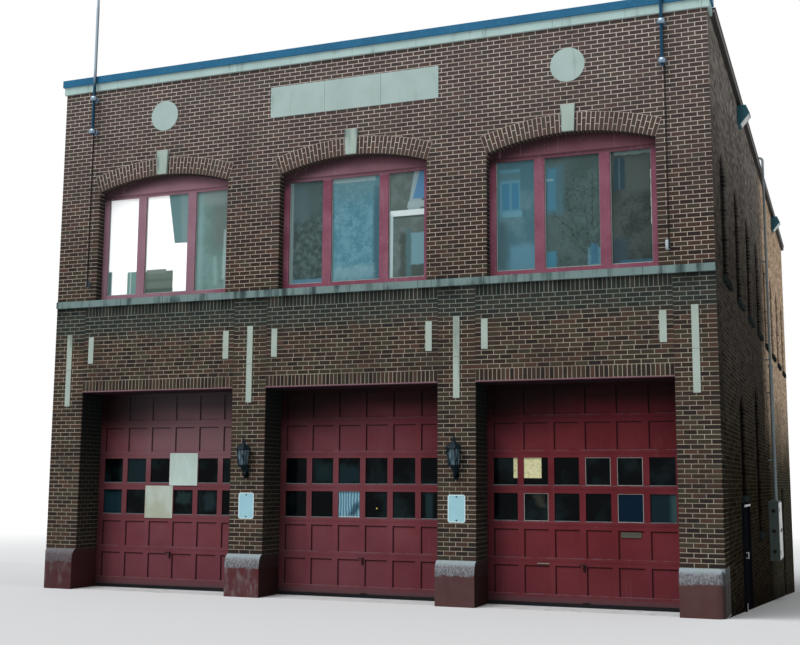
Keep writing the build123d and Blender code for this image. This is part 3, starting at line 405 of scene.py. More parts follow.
# %% Side brick and mortar
def side_finish(name, low, dark, grey, olive, sunlit, plain, toned):
    """Painted in shade near the street, darker low down and streaked with soot, painted sunlit high at the
    back, with painted shade inside the openings, and even on the unseen walls.
    """
    finish = Finish(name)
    x, y, z = finish.x, finish.y, finish.z
    wander = finish.noise(0.5, 4.0) - 0.5
    high = (z + wander * 2.0 - street).ramp(2.0, 5.2)
    summit = (z + wander * 2.0).ramp(band_top + 0.4, wall_top)
    # the street end is painted in shade and the back painted sunlit high up, with a soft painted shadow edge
    # between them
    shaded_street_end = finish.layers(low, (high, dark), (summit, grey))
    sunlit_back_end = finish.mix(high, olive, sunlit)
    right_wall_sun_and_shade = finish.mix((y + wander * 3.0).ramp(9.6, 12.8), shaded_street_end, sunlit_back_end)
    unseen = finish.mix(finish.noise(0.8, 5.0).ramp(0.35, 0.65) * 0.45, plain, dark)
    base = (z + wander * 0.5 + y * (street / depth)).fall(street + 0.15, street + 0.5)
    inward = (right - x.size()).smaller(depth - y)
    reveal = inward.ramp(REVEAL_START, REVEAL_START + REVEAL_SOFT) * z.fall(roof_top - 0.4, roof_top - 0.3)
    colour = finish.layers(
        unseen,
        (x.ramp(right - wall, right - wall + 0.05), right_wall_sun_and_shade),
        (finish.noise(7.0, 4.0).ramp(0.62, 0.72) * 0.25, grey),
        (finish.streaks(2.2, 4.0, 0.12).ramp(0.55, 0.8) * 0.28, SOOT),
        (base * 0.4, SOOT),
        # painted shade on the faces inside the openings
        (reveal * 0.8, (0.004, 0.003, 0.004)),
    )
    if toned:
        brightness = finish.attribute("tone") * 0.9 + (finish.noise(9.0, 3.0) * 0.3 + 0.4)
        colour = finish.node("HueSaturation", {}, Color=colour, Value=brightness)
    return finish.surface(colour, 0.9, finish.noise(150.0, 2.0), 0.0015, 0.5, Specular_IOR_Level=0.0)


front_brick = front_brick_finish()
front_mortar = front_mortar_finish()
# low and dark are painted in shade, and sunlit is painted sunlight
side_brick = side_finish(
    "side_brick", toned=True, low=(0.0215, 0.0165, 0.0110), dark=(0.050, 0.043, 0.0365),
    grey=(0.205, 0.185, 0.168), olive=(0.050, 0.046, 0.033), sunlit=(0.56, 0.415, 0.29),
    plain=(0.085, 0.060, 0.048))
side_mortar = side_finish(
    "side_mortar", toned=False, low=(0.064, 0.054, 0.037), dark=(0.165, 0.152, 0.130),
    grey=(0.43, 0.40, 0.365), olive=(0.135, 0.129, 0.095), sunlit=(0.82, 0.69, 0.55),
    plain=(0.42, 0.36, 0.295))
dress(front_mortar, "brick_piers", "wall_over_doors", "upper_front_wall", "window_arches")
dress(side_mortar, "right_wall", "left_wall", "rear_wall")

# %% [markdown]
# ## Laying bricks
# A brick wall is laid, not textured: courses of stretchers, each course
# starting half a brick further on, cut where they meet an opening. Every
# course is built in a small bmesh of its own from `create_cube`, because an
# operator's cost grows with the mesh that it works in, and is then added to
# the wall's mesh. The backs of the bricks lie inside the solid wall, which
# shows between them as mortar.

# %% Brick sizes
BRICK_MODULE = 0.212
COURSE = 0.075
JOINT = 0.0118
BRICK_PROUD = 0.0026
BRICK_UNEVEN = 0.0006
BRICK_BED = 0.012
SHORTEST_PIECE = 0.05
randomly = random.Random(1908)


# %% A course's free runs
class Opening:
    """A hole in a wall, flat-headed or arched, in the wall's own coordinates."""

    def __init__(self, middle, half, foot, springing, rise=0.0, ring=0.0, reveal=0.0):
        self.middle, self.half = middle, half
        self.foot, self.springing = foot, springing
        self.reveal = reveal
        self.ring = ring
        self.arched = rise > 0
        if self.arched:
            self.radius = (half * half + rise * rise) / (2 * rise)
            self.centre = springing + rise - self.radius
            self.end_angle = math.asin(half / self.radius)

    def gap(self, low, high):
        """Half the width that a course between two levels leaves free."""
        middle = (low + high) / 2
        if middle < self.foot:
            return 0.0
        if middle < self.springing:
            return self.half
        if not self.arched:
            return 0.0
        mean = self.radius + self.ring / 2
        rise = middle - self.centre
        if rise >= mean:
            return 0.0
        under_ring = math.sqrt(mean * mean - rise * rise)
        skewback = self.half + max(0.0, low - self.springing) * math.tan(self.end_angle)
        return min(under_ring, skewback)


def free_runs(start, end, openings, low, high):
    """The stretches of a course between its openings, with the reveal at each end."""
    runs = []
    at, reveal_before = start, 0.0
    for opening in sorted(openings, key=lambda o: o.middle):
        gap = opening.gap(low, high)
        if gap > 0:
            square = (low + high) / 2 < opening.springing
            reveal = opening.reveal if square else 0.0
            runs.append((at, opening.middle - gap, reveal_before, reveal))
            at, reveal_before = opening.middle + gap, reveal
    runs.append((at, end, reveal_before, 0.0))
    return [run for run in runs if run[1] - run[0] > SHORTEST_PIECE / 2]


# %% The bricks of one run
def run_bricks(run, grid_start, low, high):
    """Bricks as start, end, foot, top and depth, with no piece that is too short."""
    x0, x1, reveal_before, reveal_after = run
    count = math.ceil((x0 + SHORTEST_PIECE - grid_start) / BRICK_MODULE)
    joints = [x0]
    while grid_start + count * BRICK_MODULE < x1 - SHORTEST_PIECE:
        joints.append(grid_start + count * BRICK_MODULE)
        count += 1
    joints.append(x1)
    bricks = [
        [start + JOINT / 2, end - JOINT / 2, low + JOINT / 2, high - JOINT / 2, BRICK_BED]
        for start, end in zip(joints, joints[1:])
    ]
    bricks[0][0] = x0 - BRICK_PROUD
    bricks[-1][1] = x1 + BRICK_PROUD
    bricks[0][4] = max(BRICK_BED, reveal_before)
    bricks[-1][4] = max(bricks[-1][4], reveal_after)
    return bricks


# %% Laying a whole wall
def piece_from(name, mesh, material):
    """Makes a mesh a piece that rides on the building."""
    bmesh.ops.recalc_face_normals(mesh, faces=mesh.faces)
    data = bpy.data.meshes.new(name)
    mesh.to_mesh(data)
    mesh.free()
    made = put_in_scene(name, data)
    data.materials.append(material)
    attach(made, "root")
    print(name, len(data.polygons), "faces")
    return made


class BrickWall:
    """Collects bricks in one mesh. A plane's axes are length, outward side and up."""

    def __init__(self):
        self.mesh = bmesh.new()
        self.mesh.verts.layers.float.new("tone")

    def add(self, plane, bricks, tone_range=(0.0, 1.0)):
        """Lays a few bricks in a small bmesh and joins it to the wall's."""
        small = bmesh.new()
        tones = small.verts.layers.float.new("tone")
        for x0, x1, z0, z1, back in bricks:
            front = BRICK_PROUD + randomly.uniform(-BRICK_UNEVEN, BRICK_UNEVEN)
            middle = Vector(((x0 + x1) / 2, (front - back) / 2, (z0 + z1) / 2))
            size = Matrix.Diagonal((x1 - x0, front + back, z1 - z0, 1.0))
            made = bmesh.ops.create_cube(small, size=1.0, matrix=plane @ Matrix.Translation(middle) @ size)
            tone = randomly.uniform(*tone_range)
            for vertex in made["verts"]:
                vertex[tones] = tone
        part = bpy.data.meshes.new("part")
        small.to_mesh(part)
        small.free()
        self.mesh.from_mesh(part)
        bpy.data.meshes.remove(part)

    def lay(self, plane, start, end, foot, courses, course=COURSE, openings=(), first=0):
        for index in range(courses):
            low = foot + index * course
            shift = BRICK_MODULE / 2 if (first + index) % 2 else 0.0
            bricks = []
            for run in free_runs(start, end, openings, low, low + course):
                bricks += run_bricks(run, start + shift, low, low + course)
            self.add(plane, bricks)

    def ring(self, plane, opening, split=None):
        """Bricks on end around an arch, every second row split the other way round."""
        count = round(2 * opening.end_angle * opening.radius / SOLDIER_PITCH)
        step = 2 * opening.end_angle / count
        half = (opening.radius * step - RING_JOINT) / 2
        centre = Matrix.Translation((opening.middle, ARCH_LIFT, opening.centre))
        for index in range(count):
            turn = Matrix.Rotation((index + 0.5) * step - opening.end_angle, 4, "Y")
            bounds = [0.0, opening.ring]
            if split:
                bounds.insert(1, split if index % 2 else opening.ring - split)
            bricks = []
            for low, high in zip(bounds, bounds[1:]):
                foot = opening.radius + low + (JOINT / 2 if low else -BRICK_PROUD)
                bricks.append((-half, half, foot, opening.radius + high - JOINT / 2, opening.reveal))
            self.add(plane @ (centre @ turn), bricks, RING_TONES)


def plane_of(origin, along, outward):
    """A wall's plane as a matrix: length, outward side, up."""
    matrix = Matrix.Identity(4)
    for index, column in enumerate((along, outward, (0, 0, 1), origin)):
        matrix.col[index][:3] = Vector(column)
    return matrix


front_plane = plane_of((0, 0, 0), (1, 0, 0), (0, -1, 0))
rear_plane = plane_of((0, depth, 0), (-1, 0, 0), (0, 1, 0))
right_plane = plane_of((right, 0, 0), (0, 1, 0), (1, 0, 0))
left_plane = plane_of((left, depth, 0), (0, -1, 0), (-1, 0, 0))

# %% [markdown]
# ## The front wall
# The piers are laid from the wheel guards to the stone band. Over each door,
# between straight joints, a soldier course of upright bricks stands on the
# lintel and another lies under the band, and a panel of bricks with its own
# straight ends lies between the short stone strips. Above the band the courses
# run the full width, and the arches' rings hide where they are cut.

# %% Front wall
SOLDIER = 0.2
SOLDIER_PITCH = 0.0737
PIER_COURSES = 61
PANEL_HALF = 1.3
PANEL_LOW = 1.225
PANEL_HIGH = 0.715
UPPER_COURSES = 56
WINDOW_REVEAL = 0.19
lintel_low, lintel_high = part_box("door_lintels")
front_bricks = BrickWall()
pier_edges = [left]
for bay in bays:
    pier_edges += [bay - door_half, bay + door_half]
pier_edges.append(right)
pier_course = (band_foot - guard_top) / PIER_COURSES
for start, end in zip(pier_edges[0::2], pier_edges[1::2]):
    front_bricks.lay(front_plane, start, end, guard_top, PIER_COURSES, pier_course)

between_foot = lintel_high.z + SOLDIER
between_courses = round((band_foot - SOLDIER - between_foot) / COURSE)
between_course = (band_foot - SOLDIER - between_foot) / between_courses


def lay_soldiers(start, end, foot):
    count = round((end - start) / SOLDIER_PITCH)
    pitch = (end - start) / count
    low, high = foot + JOINT / 2, foot + SOLDIER - JOINT / 2
    front_bricks.add(front_plane, [
        (start + index * pitch + JOINT / 2, start + (index + 1) * pitch - JOINT / 2, low, high, BRICK_BED)
        for index in range(count)
    ])


panel_first = round((band_top - PANEL_LOW - between_foot) / between_course)
panel_last = round((band_top - PANEL_HIGH - between_foot) / between_course)
for bay in bays:
    start, end = bay - door_half, bay + door_half
    lay_soldiers(start, end, lintel_high.z)
    for index in range(between_courses):
        low = between_foot + index * between_course
        ends = [start, end]
        if panel_first <= index < panel_last:
            ends = [start, bay - PANEL_HALF, bay + PANEL_HALF, end]
        for x0, x1 in zip(ends, ends[1:]):
            front_bricks.lay(front_plane, x0, x1, low, 1, between_course, first=index)
    lay_soldiers(start, end, band_foot - SOLDIER)
front_windows = [
    Opening(bay, WINDOW_HALF, band_top, WINDOW_SPRINGING, WINDOW_RISE, FRONT_RING, WINDOW_REVEAL)
    for bay in bays
]
upper_course = (wall_top - band_top) / UPPER_COURSES
front_bricks.lay(front_plane, left, right, band_top, UPPER_COURSES, upper_course, front_windows)

# %% [markdown]
# The reveals of the engine doors are the piers' own sides, laid in the same
# courses for the depth of the opening. A rowlock arch is bricks on end, turned
# about the arch's centre. These rings are a brick and a half thick, so every
# second row starts with the half brick, and their bricks are the redder ones.

# %% Door reveals and arch rings
RING_TONES = (0.62, 1.0)
RING_JOINT = 0.0095
ARCH_LIFT = 0.004
FULL_IN_RING = 0.212
door_courses = round((door_head - guard_top) / pier_course)
for bay in bays:
    for side in (-1, 1):
        plane = plane_of((bay + side * door_half, 0, 0), (0, 1, 0), (-side, 0, 0))
        front_bricks.lay(plane, 0.0, door_face, guard_top, door_courses, pier_course, first=1)
for opening in front_windows:
    front_bricks.ring(front_plane, opening, FULL_IN_RING)
piece_from("front_bricks", front_bricks.mesh, front_brick)

# %% [markdown]
# ## Side and rear walls
# The long walls are laid in the front's courses, so that they meet it at the
# corners. Each of their windows has a flat-backed ring of bricks on end.

# %% Openings in the long walls
SIDE_SPRINGING = band_top + 1.96
LOWER_SILL = street + 1.0
LOWER_SPRINGING = street + 3.85
SIDE_REVEAL = 0.12
UPPER_WINDOWS = 8
# middle, sill and springing of each window downstairs
LOWER_WINDOWS = (
    (3.93, street + 1.8, street + 3.42),
    (7.56, LOWER_SILL, LOWER_SPRINGING),
    (12.9, LOWER_SILL, LOWER_SPRINGING),
)
BACK_DOOR = 16.1
BACK_DOOR_REVEAL = 0.14


def side_opening(place, sill, springing):
    return Opening(place, SIDE_WINDOW_HALF, sill, springing, SIDE_WINDOW_RISE, SIDE_RING, SIDE_REVEAL)


side_windows = [
    side_opening(SIDE_WINDOW_START + index * SIDE_WINDOW_PITCH, band_top, SIDE_SPRINGING)
    for index in range(UPPER_WINDOWS)
]
side_windows += [side_opening(*place) for place in LOWER_WINDOWS]
# middle, half width, foot and head of each door
side_doors = [
    Opening(SERVICE_DOOR, 0.665, street - 0.25, SERVICE_HEAD),
    Opening(BACK_DOOR, 0.5, street - 1.03, street + 1.9, reveal=BACK_DOOR_REVEAL),
]
rear_windows = [
    side_opening((index - 1.5) * SIDE_WINDOW_PITCH, sill, springing)
    for index in range(4)
    for sill, springing in ((band_top, SIDE_SPRINGING), (LOWER_SILL, LOWER_SPRINGING))
]

# %% Laying the long walls
# each zone's foot and its number of courses
LONG_WALL_ZONES = [(0.0, 28), (guard_top, PIER_COURSES), (band_foot, 2), (band_top, UPPER_COURSES)]
guard_end = Opening(pier_depth / 2, pier_depth / 2, street, guard_top)


def lay_long_wall(name, plane, start, end, openings):
    walls = BrickWall()
    tops = [foot for foot, courses in LONG_WALL_ZONES[1:]] + [wall_top]
    first = 0
    for (foot, courses), top in zip(LONG_WALL_ZONES, tops):
        walls.lay(plane, start, end, foot, courses, (top - foot) / courses, openings, first)
        first += courses
    for opening in openings:
        if opening.arched:
            walls.ring(plane, opening)
    piece_from(name, walls.mesh, side_brick)


def mirrored(opening):
    """The same opening, seen from the wall's other end."""
    other = copy.copy(opening)
    other.middle = depth - opening.middle
    return other


left_windows = [mirrored(opening) for opening in side_windows]
lay_long_wall("right_wall_bricks", right_plane, 0.0, depth, side_windows + side_doors + [guard_end])
lay_long_wall("left_wall_bricks", left_plane, 0.0, depth, left_windows + [mirrored(guard_end)])
lay_long_wall("rear_wall_bricks", rear_plane, left, right, rear_windows)

# %% [markdown]
# The parapet rises above the roof, and its inner faces are brick too.

# %% Parapet's inner faces
parapet_courses = round((wall_top - roof_top) / COURSE)
parapet_course = (wall_top - roof_top) / parapet_courses
inner_faces = (
    ((0, wall, 0), (1, 0, 0), (0, 1, 0), left + wall, right - wall),
    ((0, depth - wall, 0), (1, 0, 0), (0, -1, 0), left + wall, right - wall),
    ((left + wall, 0, 0), (0, 1, 0), (1, 0, 0), wall, depth - wall),
    ((right - wall, 0, 0), (0, 1, 0), (-1, 0, 0), wall, depth - wall),
)
parapet_bricks = BrickWall()
for origin, along, outward, start, end in inner_faces:
    plane = plane_of(origin, along, outward)
    parapet_bricks.lay(plane, start, end, roof_top, parapet_courses, parapet_course)
piece_from("parapet_inner_bricks", parapet_bricks.mesh, side_brick)

# %% [markdown]
# ## Stone
# The band, coping, keystones, strips, discs and panel are the same pale
# grey-green stone at different ages: clean where it is set flush high up, and
# almost black-green on the band, which catches the water of the whole wall. One
# recipe takes the clean colour, the stain's colour and how far it has gone.


# %% Stone finish
STONE_JOINT = 0.012
BAND_BLOCK = 1.28


def stone_finish(name, clean, stain, share, pits=0.3, top=None, sheen=DULL, blocks=None):
    finish = Finish(name)
    drips = finish.streaks(6.0, 4.0, 0.1) + (finish.noise(1.4, 3.0) - 0.5) * 0.6
    colour = finish.layers(
        clean,
        (finish.noise(2.2, 4.0).ramp(0.35, 0.7) * 0.35, tuple(0.72 * part for part in clean)),
        (drips.ramp(0.62 - share * 0.35, 0.86 - share * 0.3), stain),
        (finish.noise(90.0, 2.0).ramp(0.62, 0.74) * pits, stain),
    )
    if top:
        colour = finish.mix(finish.facing()[2].ramp(0.4, 0.8), colour, top)
    if blocks:
        joint = ((finish.x / blocks).fraction() * blocks).within(0.0, STONE_JOINT, 0.003)
        colour = finish.mix(joint * 0.85, colour, stain)
    return finish.surface(colour, 0.85, finish.noise(60.0, 4.0), 0.002, 0.45, Specular_IOR_Level=sheen)


BAND_LEDGE = (0.26, 0.36, 0.34)
STONES = (
    ("front_coping", "coping_stone", (0.41, 0.56, 0.54), (0.16, 0.25, 0.25), 0.14, 0.12),
    ("stone_panel_and_discs", "inset_stone", (0.375, 0.485, 0.465), (0.25, 0.32, 0.30), 0.0, 0.08),
    ("keystones", "keystone", (0.36, 0.45, 0.41), (0.09, 0.13, 0.12), 0.22, 0.2),
    ("stone_strips", "strip_stone", (0.36, 0.435, 0.39), (0.17, 0.21, 0.18), 0.12, 0.15),
    ("stone_band", "band_stone", (0.165, 0.240, 0.236), (0.030, 0.050, 0.052), 0.50, 0.5,
     BAND_LEDGE, DULL, BAND_BLOCK),
    ("side_window_sills", "sill_stone", (0.026, 0.034, 0.034), (0.008, 0.010, 0.010), 0.4, 0.3, None, 0.0),
    ("front_foundation", "foundation_stone", (0.52, 0.53, 0.54), (0.34, 0.34, 0.34), 0.2),
)
for node, *recipe in STONES:
    dress(stone_finish(*recipe), node)

# %% [markdown]
# ## Concrete and roof
# Nothing but the roof is seen of these from outside. The roof's felt is laid in
# strips a metre wide, whose laps show as thin dark lines.

# %% Concrete and roof felt
concrete = Finish("concrete")
blotch = concrete.noise(1.3, 5.0).ramp(0.3, 0.7)
concrete_colour = concrete.mix(blotch, (0.34, 0.335, 0.32), (0.25, 0.245, 0.235))
dress(concrete.surface(concrete_colour, 0.9, concrete.noise(70.0, 3.0), 0.002, 0.4),
      "ground_floor", "upper_floor")

FELT_STRIP = 1.0
felt = Finish("roof_felt")
across = (felt.y / FELT_STRIP).fraction()
felt_colour = felt.layers(
    (0.085, 0.086, 0.09),
    (felt.noise(0.5, 4.0).ramp(0.45, 0.65), (0.055, 0.054, 0.053)),
    (felt.noise(220.0, 1.0).ramp(0.55, 0.7) * 0.5, (0.17, 0.17, 0.17)),
    (across.within(0.0, 0.02, 0.004), (0.02, 0.02, 0.02)),
)
dress(felt.surface(felt_colour, 0.93, across.ramp(0.0, 0.03), 0.004, 0.8), "roof_deck")

# %% [markdown]
# ## Painted metal
# Paint on metal differs in three things: its colour, how matt it has weathered
# and how far rust or dirt has come through. That is one recipe with those three
# as its arguments.


# %% Painted metal finish
def painted_metal(name, colour, roughness, worn=None, share=0.2, metallic=0.0, sheen=DULL):
    finish = Finish(name)
    fade = finish.noise(3.0, 4.0)
    paint = finish.mix(fade.ramp(0.3, 0.75) * 0.45, colour, tuple(0.62 * part for part in colour))
    if worn:
        paint = finish.layers(
            paint,
            (finish.noise(22.0, 4.0).ramp(0.60, 0.68) * share, worn),
            (finish.streaks(9.0, 3.0).ramp(0.58, 0.78) * share, worn),
        )
    return finish.surface(paint, fade * 0.2 + (roughness - 0.1), finish.noise(45.0, 3.0), 0.0008, 0.35,
                          Metallic=metallic, Specular_IOR_Level=sheen)


RUST = (0.10, 0.035, 0.015)
METALS = (
    ("metal_cap", "cap_paint", (0.020, 0.130, 0.250), 0.42, (0.07, 0.19, 0.29), 0.35),
    ("coping_flashing", "flashing_paint", (0.055, 0.050, 0.048), 0.55, (0.12, 0.11, 0.10), 0.3),
    ("flagpole_fittings", "clamp_metal", (0.27, 0.36, 0.46), 0.30, (0.04, 0.08, 0.14), 0.6, 0.7),
    ("lantern_frames", "lantern_iron", (0.0030, 0.0105, 0.0150), 0.5, (0.012, 0.030, 0.038), 0.35),
    ("side_doors", "side_door_paint", (0.009, 0.010, 0.014), 0.6, (0.02, 0.02, 0.018), 0.2, 0.0, 0.0),
    ("floodlights", "floodlight_paint", (0.030, 0.105, 0.135), 0.42, (0.10, 0.14, 0.15), 0.25),
    ("conduits", "conduit_paint", (0.205, 0.245, 0.260), 0.5, (0.08, 0.08, 0.075), 0.3),
    ("meter_cabinet", "cabinet_paint", (0.080, 0.105, 0.098), 0.5, RUST, 0.15),
    ("cabinet_doors", "cabinet_door_paint", (0.86, 0.89, 0.90), 0.45, (0.60, 0.60, 0.58), 0.1),
    ("door_sills", "door_sill_rubber", (0.010, 0.011, 0.013), 0.7),
)
for node, *recipe in METALS:
    dress(painted_metal(*recipe), node)

# %% Lintels, side coping and flagpoles, which change along their height
lintel = Finish("lintel_paint")
lintel_fade = lintel.noise(3.0, 4.0)
lintel_height = lintel_high.z - lintel_low.z
# The lower part of the lintel's face and its underside are painted dark as shade.
lower_lip_shade = lintel.z.fall(lintel_low.z + 0.30 * lintel_height, lintel_low.z + 0.50 * lintel_height)
underside_shade = (lintel.facing()[2] * -1.0).ramp(0.4, 0.8)
lintel_colour = lintel.layers(
    (0.250, 0.125, 0.165),
    (lintel_fade, (0.150, 0.070, 0.095)),
    (lower_lip_shade.larger(underside_shade) * 0.92, (0.010, 0.005, 0.006)),
)
dress(lintel.surface(lintel_colour, 0.5, lintel_fade, 0.0008, 0.3), "door_lintels")

COPING_UNSHADED = 0.045
coping = Finish("side_coping_paint")
# The coping's face is painted dark as shade below a lighter top strip.
coping_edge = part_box("side_coping")[1].z - COPING_UNSHADED
unshaded_top = coping.z.ramp(coping_edge - 0.004, coping_edge)
coping_colour = coping.mix(unshaded_top, (0.045, 0.041, 0.038), (0.31, 0.30, 0.28))
dress(coping.surface(coping_colour, 0.6, Specular_IOR_Level=0.05), "side_coping")

pole = Finish("pole_paint")
pole_fade = pole.noise(3.0, 4.0)
pole_colour = pole.layers(
    (0.010, 0.064, 0.130),
    (pole_fade, (0.008, 0.044, 0.088)),
    # a painted glare, lighter on the left pole above the wall
    (pole.x.fall(-0.1, 0.1) * pole.z.ramp(wall_top, wall_top + 0.5), (0.380, 0.480, 0.560)),
)
dress(pole.surface(pole_colour, pole_fade * 0.2 + 0.18, pole_fade, 0.0008, 0.3), "flagpoles")

# %% [markdown]
# The halyards are dark braided rope, pulled straight. The braid is a wave along
# the rope, fine enough to read as texture only close by.

# %% Rope
rope = Finish("rope")
braid = (rope.z * 900.0 + rope.x * 400.0).wave()
rope_colour = rope.mix(braid.ramp(-0.6, 0.6), (0.004, 0.004, 0.005), (0.014, 0.013, 0.014))
dress(rope.surface(rope_colour, 0.95, braid, 0.0006, 0.6), "halyards")

# %% [markdown]
# ## Engine doors
# Each door is six sections of raised stiles and rails around sunk panels, with
# two glazed rows. The red has faded to a greyer pink where the light reaches
# it, most on the left door, and dust lies on every ledge and in the foot rail.
# The ledges are found by their height, which comes from the leaf's own box.

# %% Door cells
COLUMNS, ROWS = 6, 6
END_STILE, STILE = 0.0885, 0.105
BOTTOM_RAIL, RAIL, TOP_RAIL = 0.135, 0.130, 0.026
leaf_foot, leaf_top = (corner.z for corner in doors[1])
cell_width = (2 * leaf_half - 2 * END_STILE - (COLUMNS - 1) * STILE) / COLUMNS
cell_height = (leaf_top - leaf_foot - BOTTOM_RAIL - TOP_RAIL - (ROWS - 1) * RAIL) / ROWS
cell_feet = [leaf_foot + BOTTOM_RAIL + row * (cell_height + RAIL) for row in range(ROWS)]
cell_starts = [END_STILE - leaf_half + column * (cell_width + STILE) for column in range(COLUMNS)]


# %% Painted shadow in the corners of the sunk panels
def door_shadow_gaps(finish):
    """The left and top edges of each sunk panel, painted as shadow."""
    column_pitch, row_pitch = cell_width + STILE, cell_height + RAIL
    in_column = ((in_bay(finish.x) - cell_starts[0]) / column_pitch).fraction() * column_pitch
    in_row = ((finish.z - cell_feet[0]) / row_pitch).fraction() * row_pitch
    left_edge = in_column.fall(0.012, 0.034) * in_column.ramp(-0.001, 0.0)
    top_edge = in_row.within(cell_height - 0.024, cell_height, 0.006)
    sunk = finish.y.ramp(door_face + 0.008, door_face + 0.012)
    return left_edge.larger(top_edge * 0.8) * sunk


# %% Door paint
def door_finish():
    finish = Finish("red_door_paint")
    x, z = finish.x, finish.z
    fade = finish.noise(1.2, 5.0)
    haze = x.fall(bays[1] - 1.0, bays[2] + 1.0) * 0.40 + (finish.noise(2.6, 4.0) - 0.5) * 0.30
    between = (bays[0] + bays[1]) / 2
    first_door = x.fall(between - 0.1, between + 0.1)
    first_door = first_door * (x + (fade - 0.5) * 0.8).ramp(bays[0] - 1.7, bays[0] + 0.1)
    ledges = z.within(cell_feet[0] - 0.016, cell_feet[0] + 0.003)
    for foot in cell_feet[1:]:
        ledges = ledges.larger(z.within(foot - 0.016, foot + 0.003))
    across = in_bay(x)
    rightward = across / (2 * door_half) + 0.5
    shade = ((z - street + (fade - 0.5) * 0.3 - rightward * 0.75 - 2.45) / 0.85).ramp(0.0, 1.0) * 0.95
    shade = shade.larger(z.ramp(leaf_top - 0.55, leaf_top - 0.15) * 0.88)
    shade = shade.larger(across.fall(-door_half, 0.45 - door_half) * 0.5)
    red = finish.layers(
        (0.108, 0.0140, 0.0190),
        (fade.ramp(0.35, 0.68), (0.140, 0.0225, 0.0300)),
        (haze.ramp(0.0, 1.0), (0.190, 0.088, 0.104)),
        (z.fall(street + 0.1, street + 1.5) * 0.35, (0.092, 0.024, 0.031)),
        (first_door * z.ramp(street + 1.7, street + 2.9) * 0.60, (0.235, 0.150, 0.168)),
        (ledges * finish.noise(5.0, 4.0).ramp(0.34, 0.6) * 0.5, (0.15, 0.095, 0.108)),
        (finish.facing()[2].ramp(0.5, 0.9) * 0.8, (0.24, 0.17, 0.185)),
        (z.fall(leaf_foot + 0.02, leaf_foot + 0.14) * 0.60, (0.078, 0.056, 0.062)),
        (finish.streaks(16.0, 3.0).ramp(0.60, 0.78) * 0.25, (0.14, 0.062, 0.070)),
        (finish.noise(38.0, 3.0).ramp(0.735, 0.755) * 0.45, (0.24, 0.19, 0.18)),
        (door_shadow_gaps(finish) * 0.85, (0.008, 0.0018, 0.0026)),
        (shade, finish.mix(first_door, (0.0030, 0.0010, 0.0012), (0.042, 0.034, 0.037))),
    )
    grain = finish.noise(120.0, 2.0, (1.0, 1.0, 0.2))
    return finish.surface(red, 0.52 + fade * 0.12, grain, 0.0006, 0.3, Specular_IOR_Level=0.08)


dress(door_finish(), "left_engine_door", "middle_engine_door", "right_engine_door", "door_trim")

# %% [markdown]
# Pale boards stand in for two broken panes. They have weathered to a greenish
# cream, with soft pale patches and clean sawn edges. The mail slot and the lift
# bars are told apart by where they are.

# %% Boards
board = Finish("board")
board_patch = board.noise(3.2, 4.0, (1.0, 1.0, 0.45))
upper_board = board.z.ramp(band_top - 3.536, band_top - 3.530)
board_pale = board.mix(upper_board, (0.470, 0.540, 0.480), (0.570, 0.710, 0.690))
board_colour = board.layers(
    (0.375, 0.410, 0.325),
    (upper_board, (0.465, 0.575, 0.530)),
    (board_patch.ramp(0.42, 0.7), board_pale),
    (board.streaks(26.0, 3.0, 0.2).ramp(0.6, 0.8) * 0.3, (0.33, 0.30, 0.20)),
    (board.facing()[1].size().fall(0.4, 0.7), (0.62, 0.66, 0.56)),
)
dress(board.surface(board_colour, 0.8, board_patch, 0.001, 0.3), "door_boards")

# %% Door hardware
hardware = Finish("door_hardware")
mail_slot = hardware.z.ramp(street + 0.95, street + 1.0)
lift_bar = hardware.x.within(bays[2] - 0.80, bays[2] - 0.54, 0.01)
scuffs = hardware.noise(60.0, 3.0)
hardware_colour = hardware.layers(
    (0.012, 0.010, 0.010),
    (mail_slot, (0.085, 0.090, 0.070)),
    (lift_bar * (1.0 - mail_slot), (0.20, 0.175, 0.150)),
    (scuffs.ramp(0.6, 0.75) * 0.3, (0.20, 0.18, 0.16)),
)
dress(hardware.surface(hardware_colour, 0.48, scuffs, 0.0006, 0.4, Metallic=0.3), "door_hardware")

# %% [markdown]
# ## Window joinery
# The big windows' frames are painted a dusty rose maroon. Water has bleached
# the rails and the foot of the mullions, and the brush marks run along them.

# %% Frame paint
frames = Finish("rose_frame_paint")
frame_fade = frames.noise(1.8, 5.0)
head_board = frames.z.ramp(band_top + 1.97, band_top + 2.03)
head_colour = frames.mix(frames.x.fall(bays[0], bays[2]), (0.140, 0.060, 0.078), (0.290, 0.165, 0.200))
arch_radius = front_windows[0].radius
across = in_bay(frames.x)
upward = frames.z - front_windows[0].centre
from_centre = (across * across + upward * upward).root() - across * 0.07
arch_shade = from_centre.ramp(arch_radius - 0.24, arch_radius - 0.01) * frames.y.fall(0.5, 0.6)
glare = frames.x.fall(bays[0] + 0.9, bays[0] + 1.3) * (1.0 - head_board)
caulk = (frames.z + frames.noise(6.0, 3.0) * 0.012).within(band_top, band_top + 0.026)
caulk = frames.x.within(bays[2] + 0.60, bays[2] + 1.40, 0.01) * caulk
rose = frames.layers(
    (0.170, 0.048, 0.078),
    (frame_fade.ramp(0.3, 0.7), (0.235, 0.088, 0.130)),
    (head_board * 0.85, head_colour),
    (arch_shade * 0.85, (0.016, 0.007, 0.009)),
    (frames.z.within(band_top - 0.01, band_top + 0.12, 0.03) * 0.25, (0.25, 0.055, 0.09)),
    (frames.streaks(20.0, 3.0).ramp(0.58, 0.75) * 0.35, (0.30, 0.17, 0.21)),
    (frames.noise(45.0, 3.0).ramp(0.68, 0.72) * 0.5, (0.50, 0.46, 0.46)),
    (glare * 0.32, (0.36, 0.29, 0.34)),
    (caulk * 0.8, (0.62, 0.66, 0.70)),
    (frames.y.ramp(0.6, 0.8) * 0.75, (0.045, 0.018, 0.022)),
)
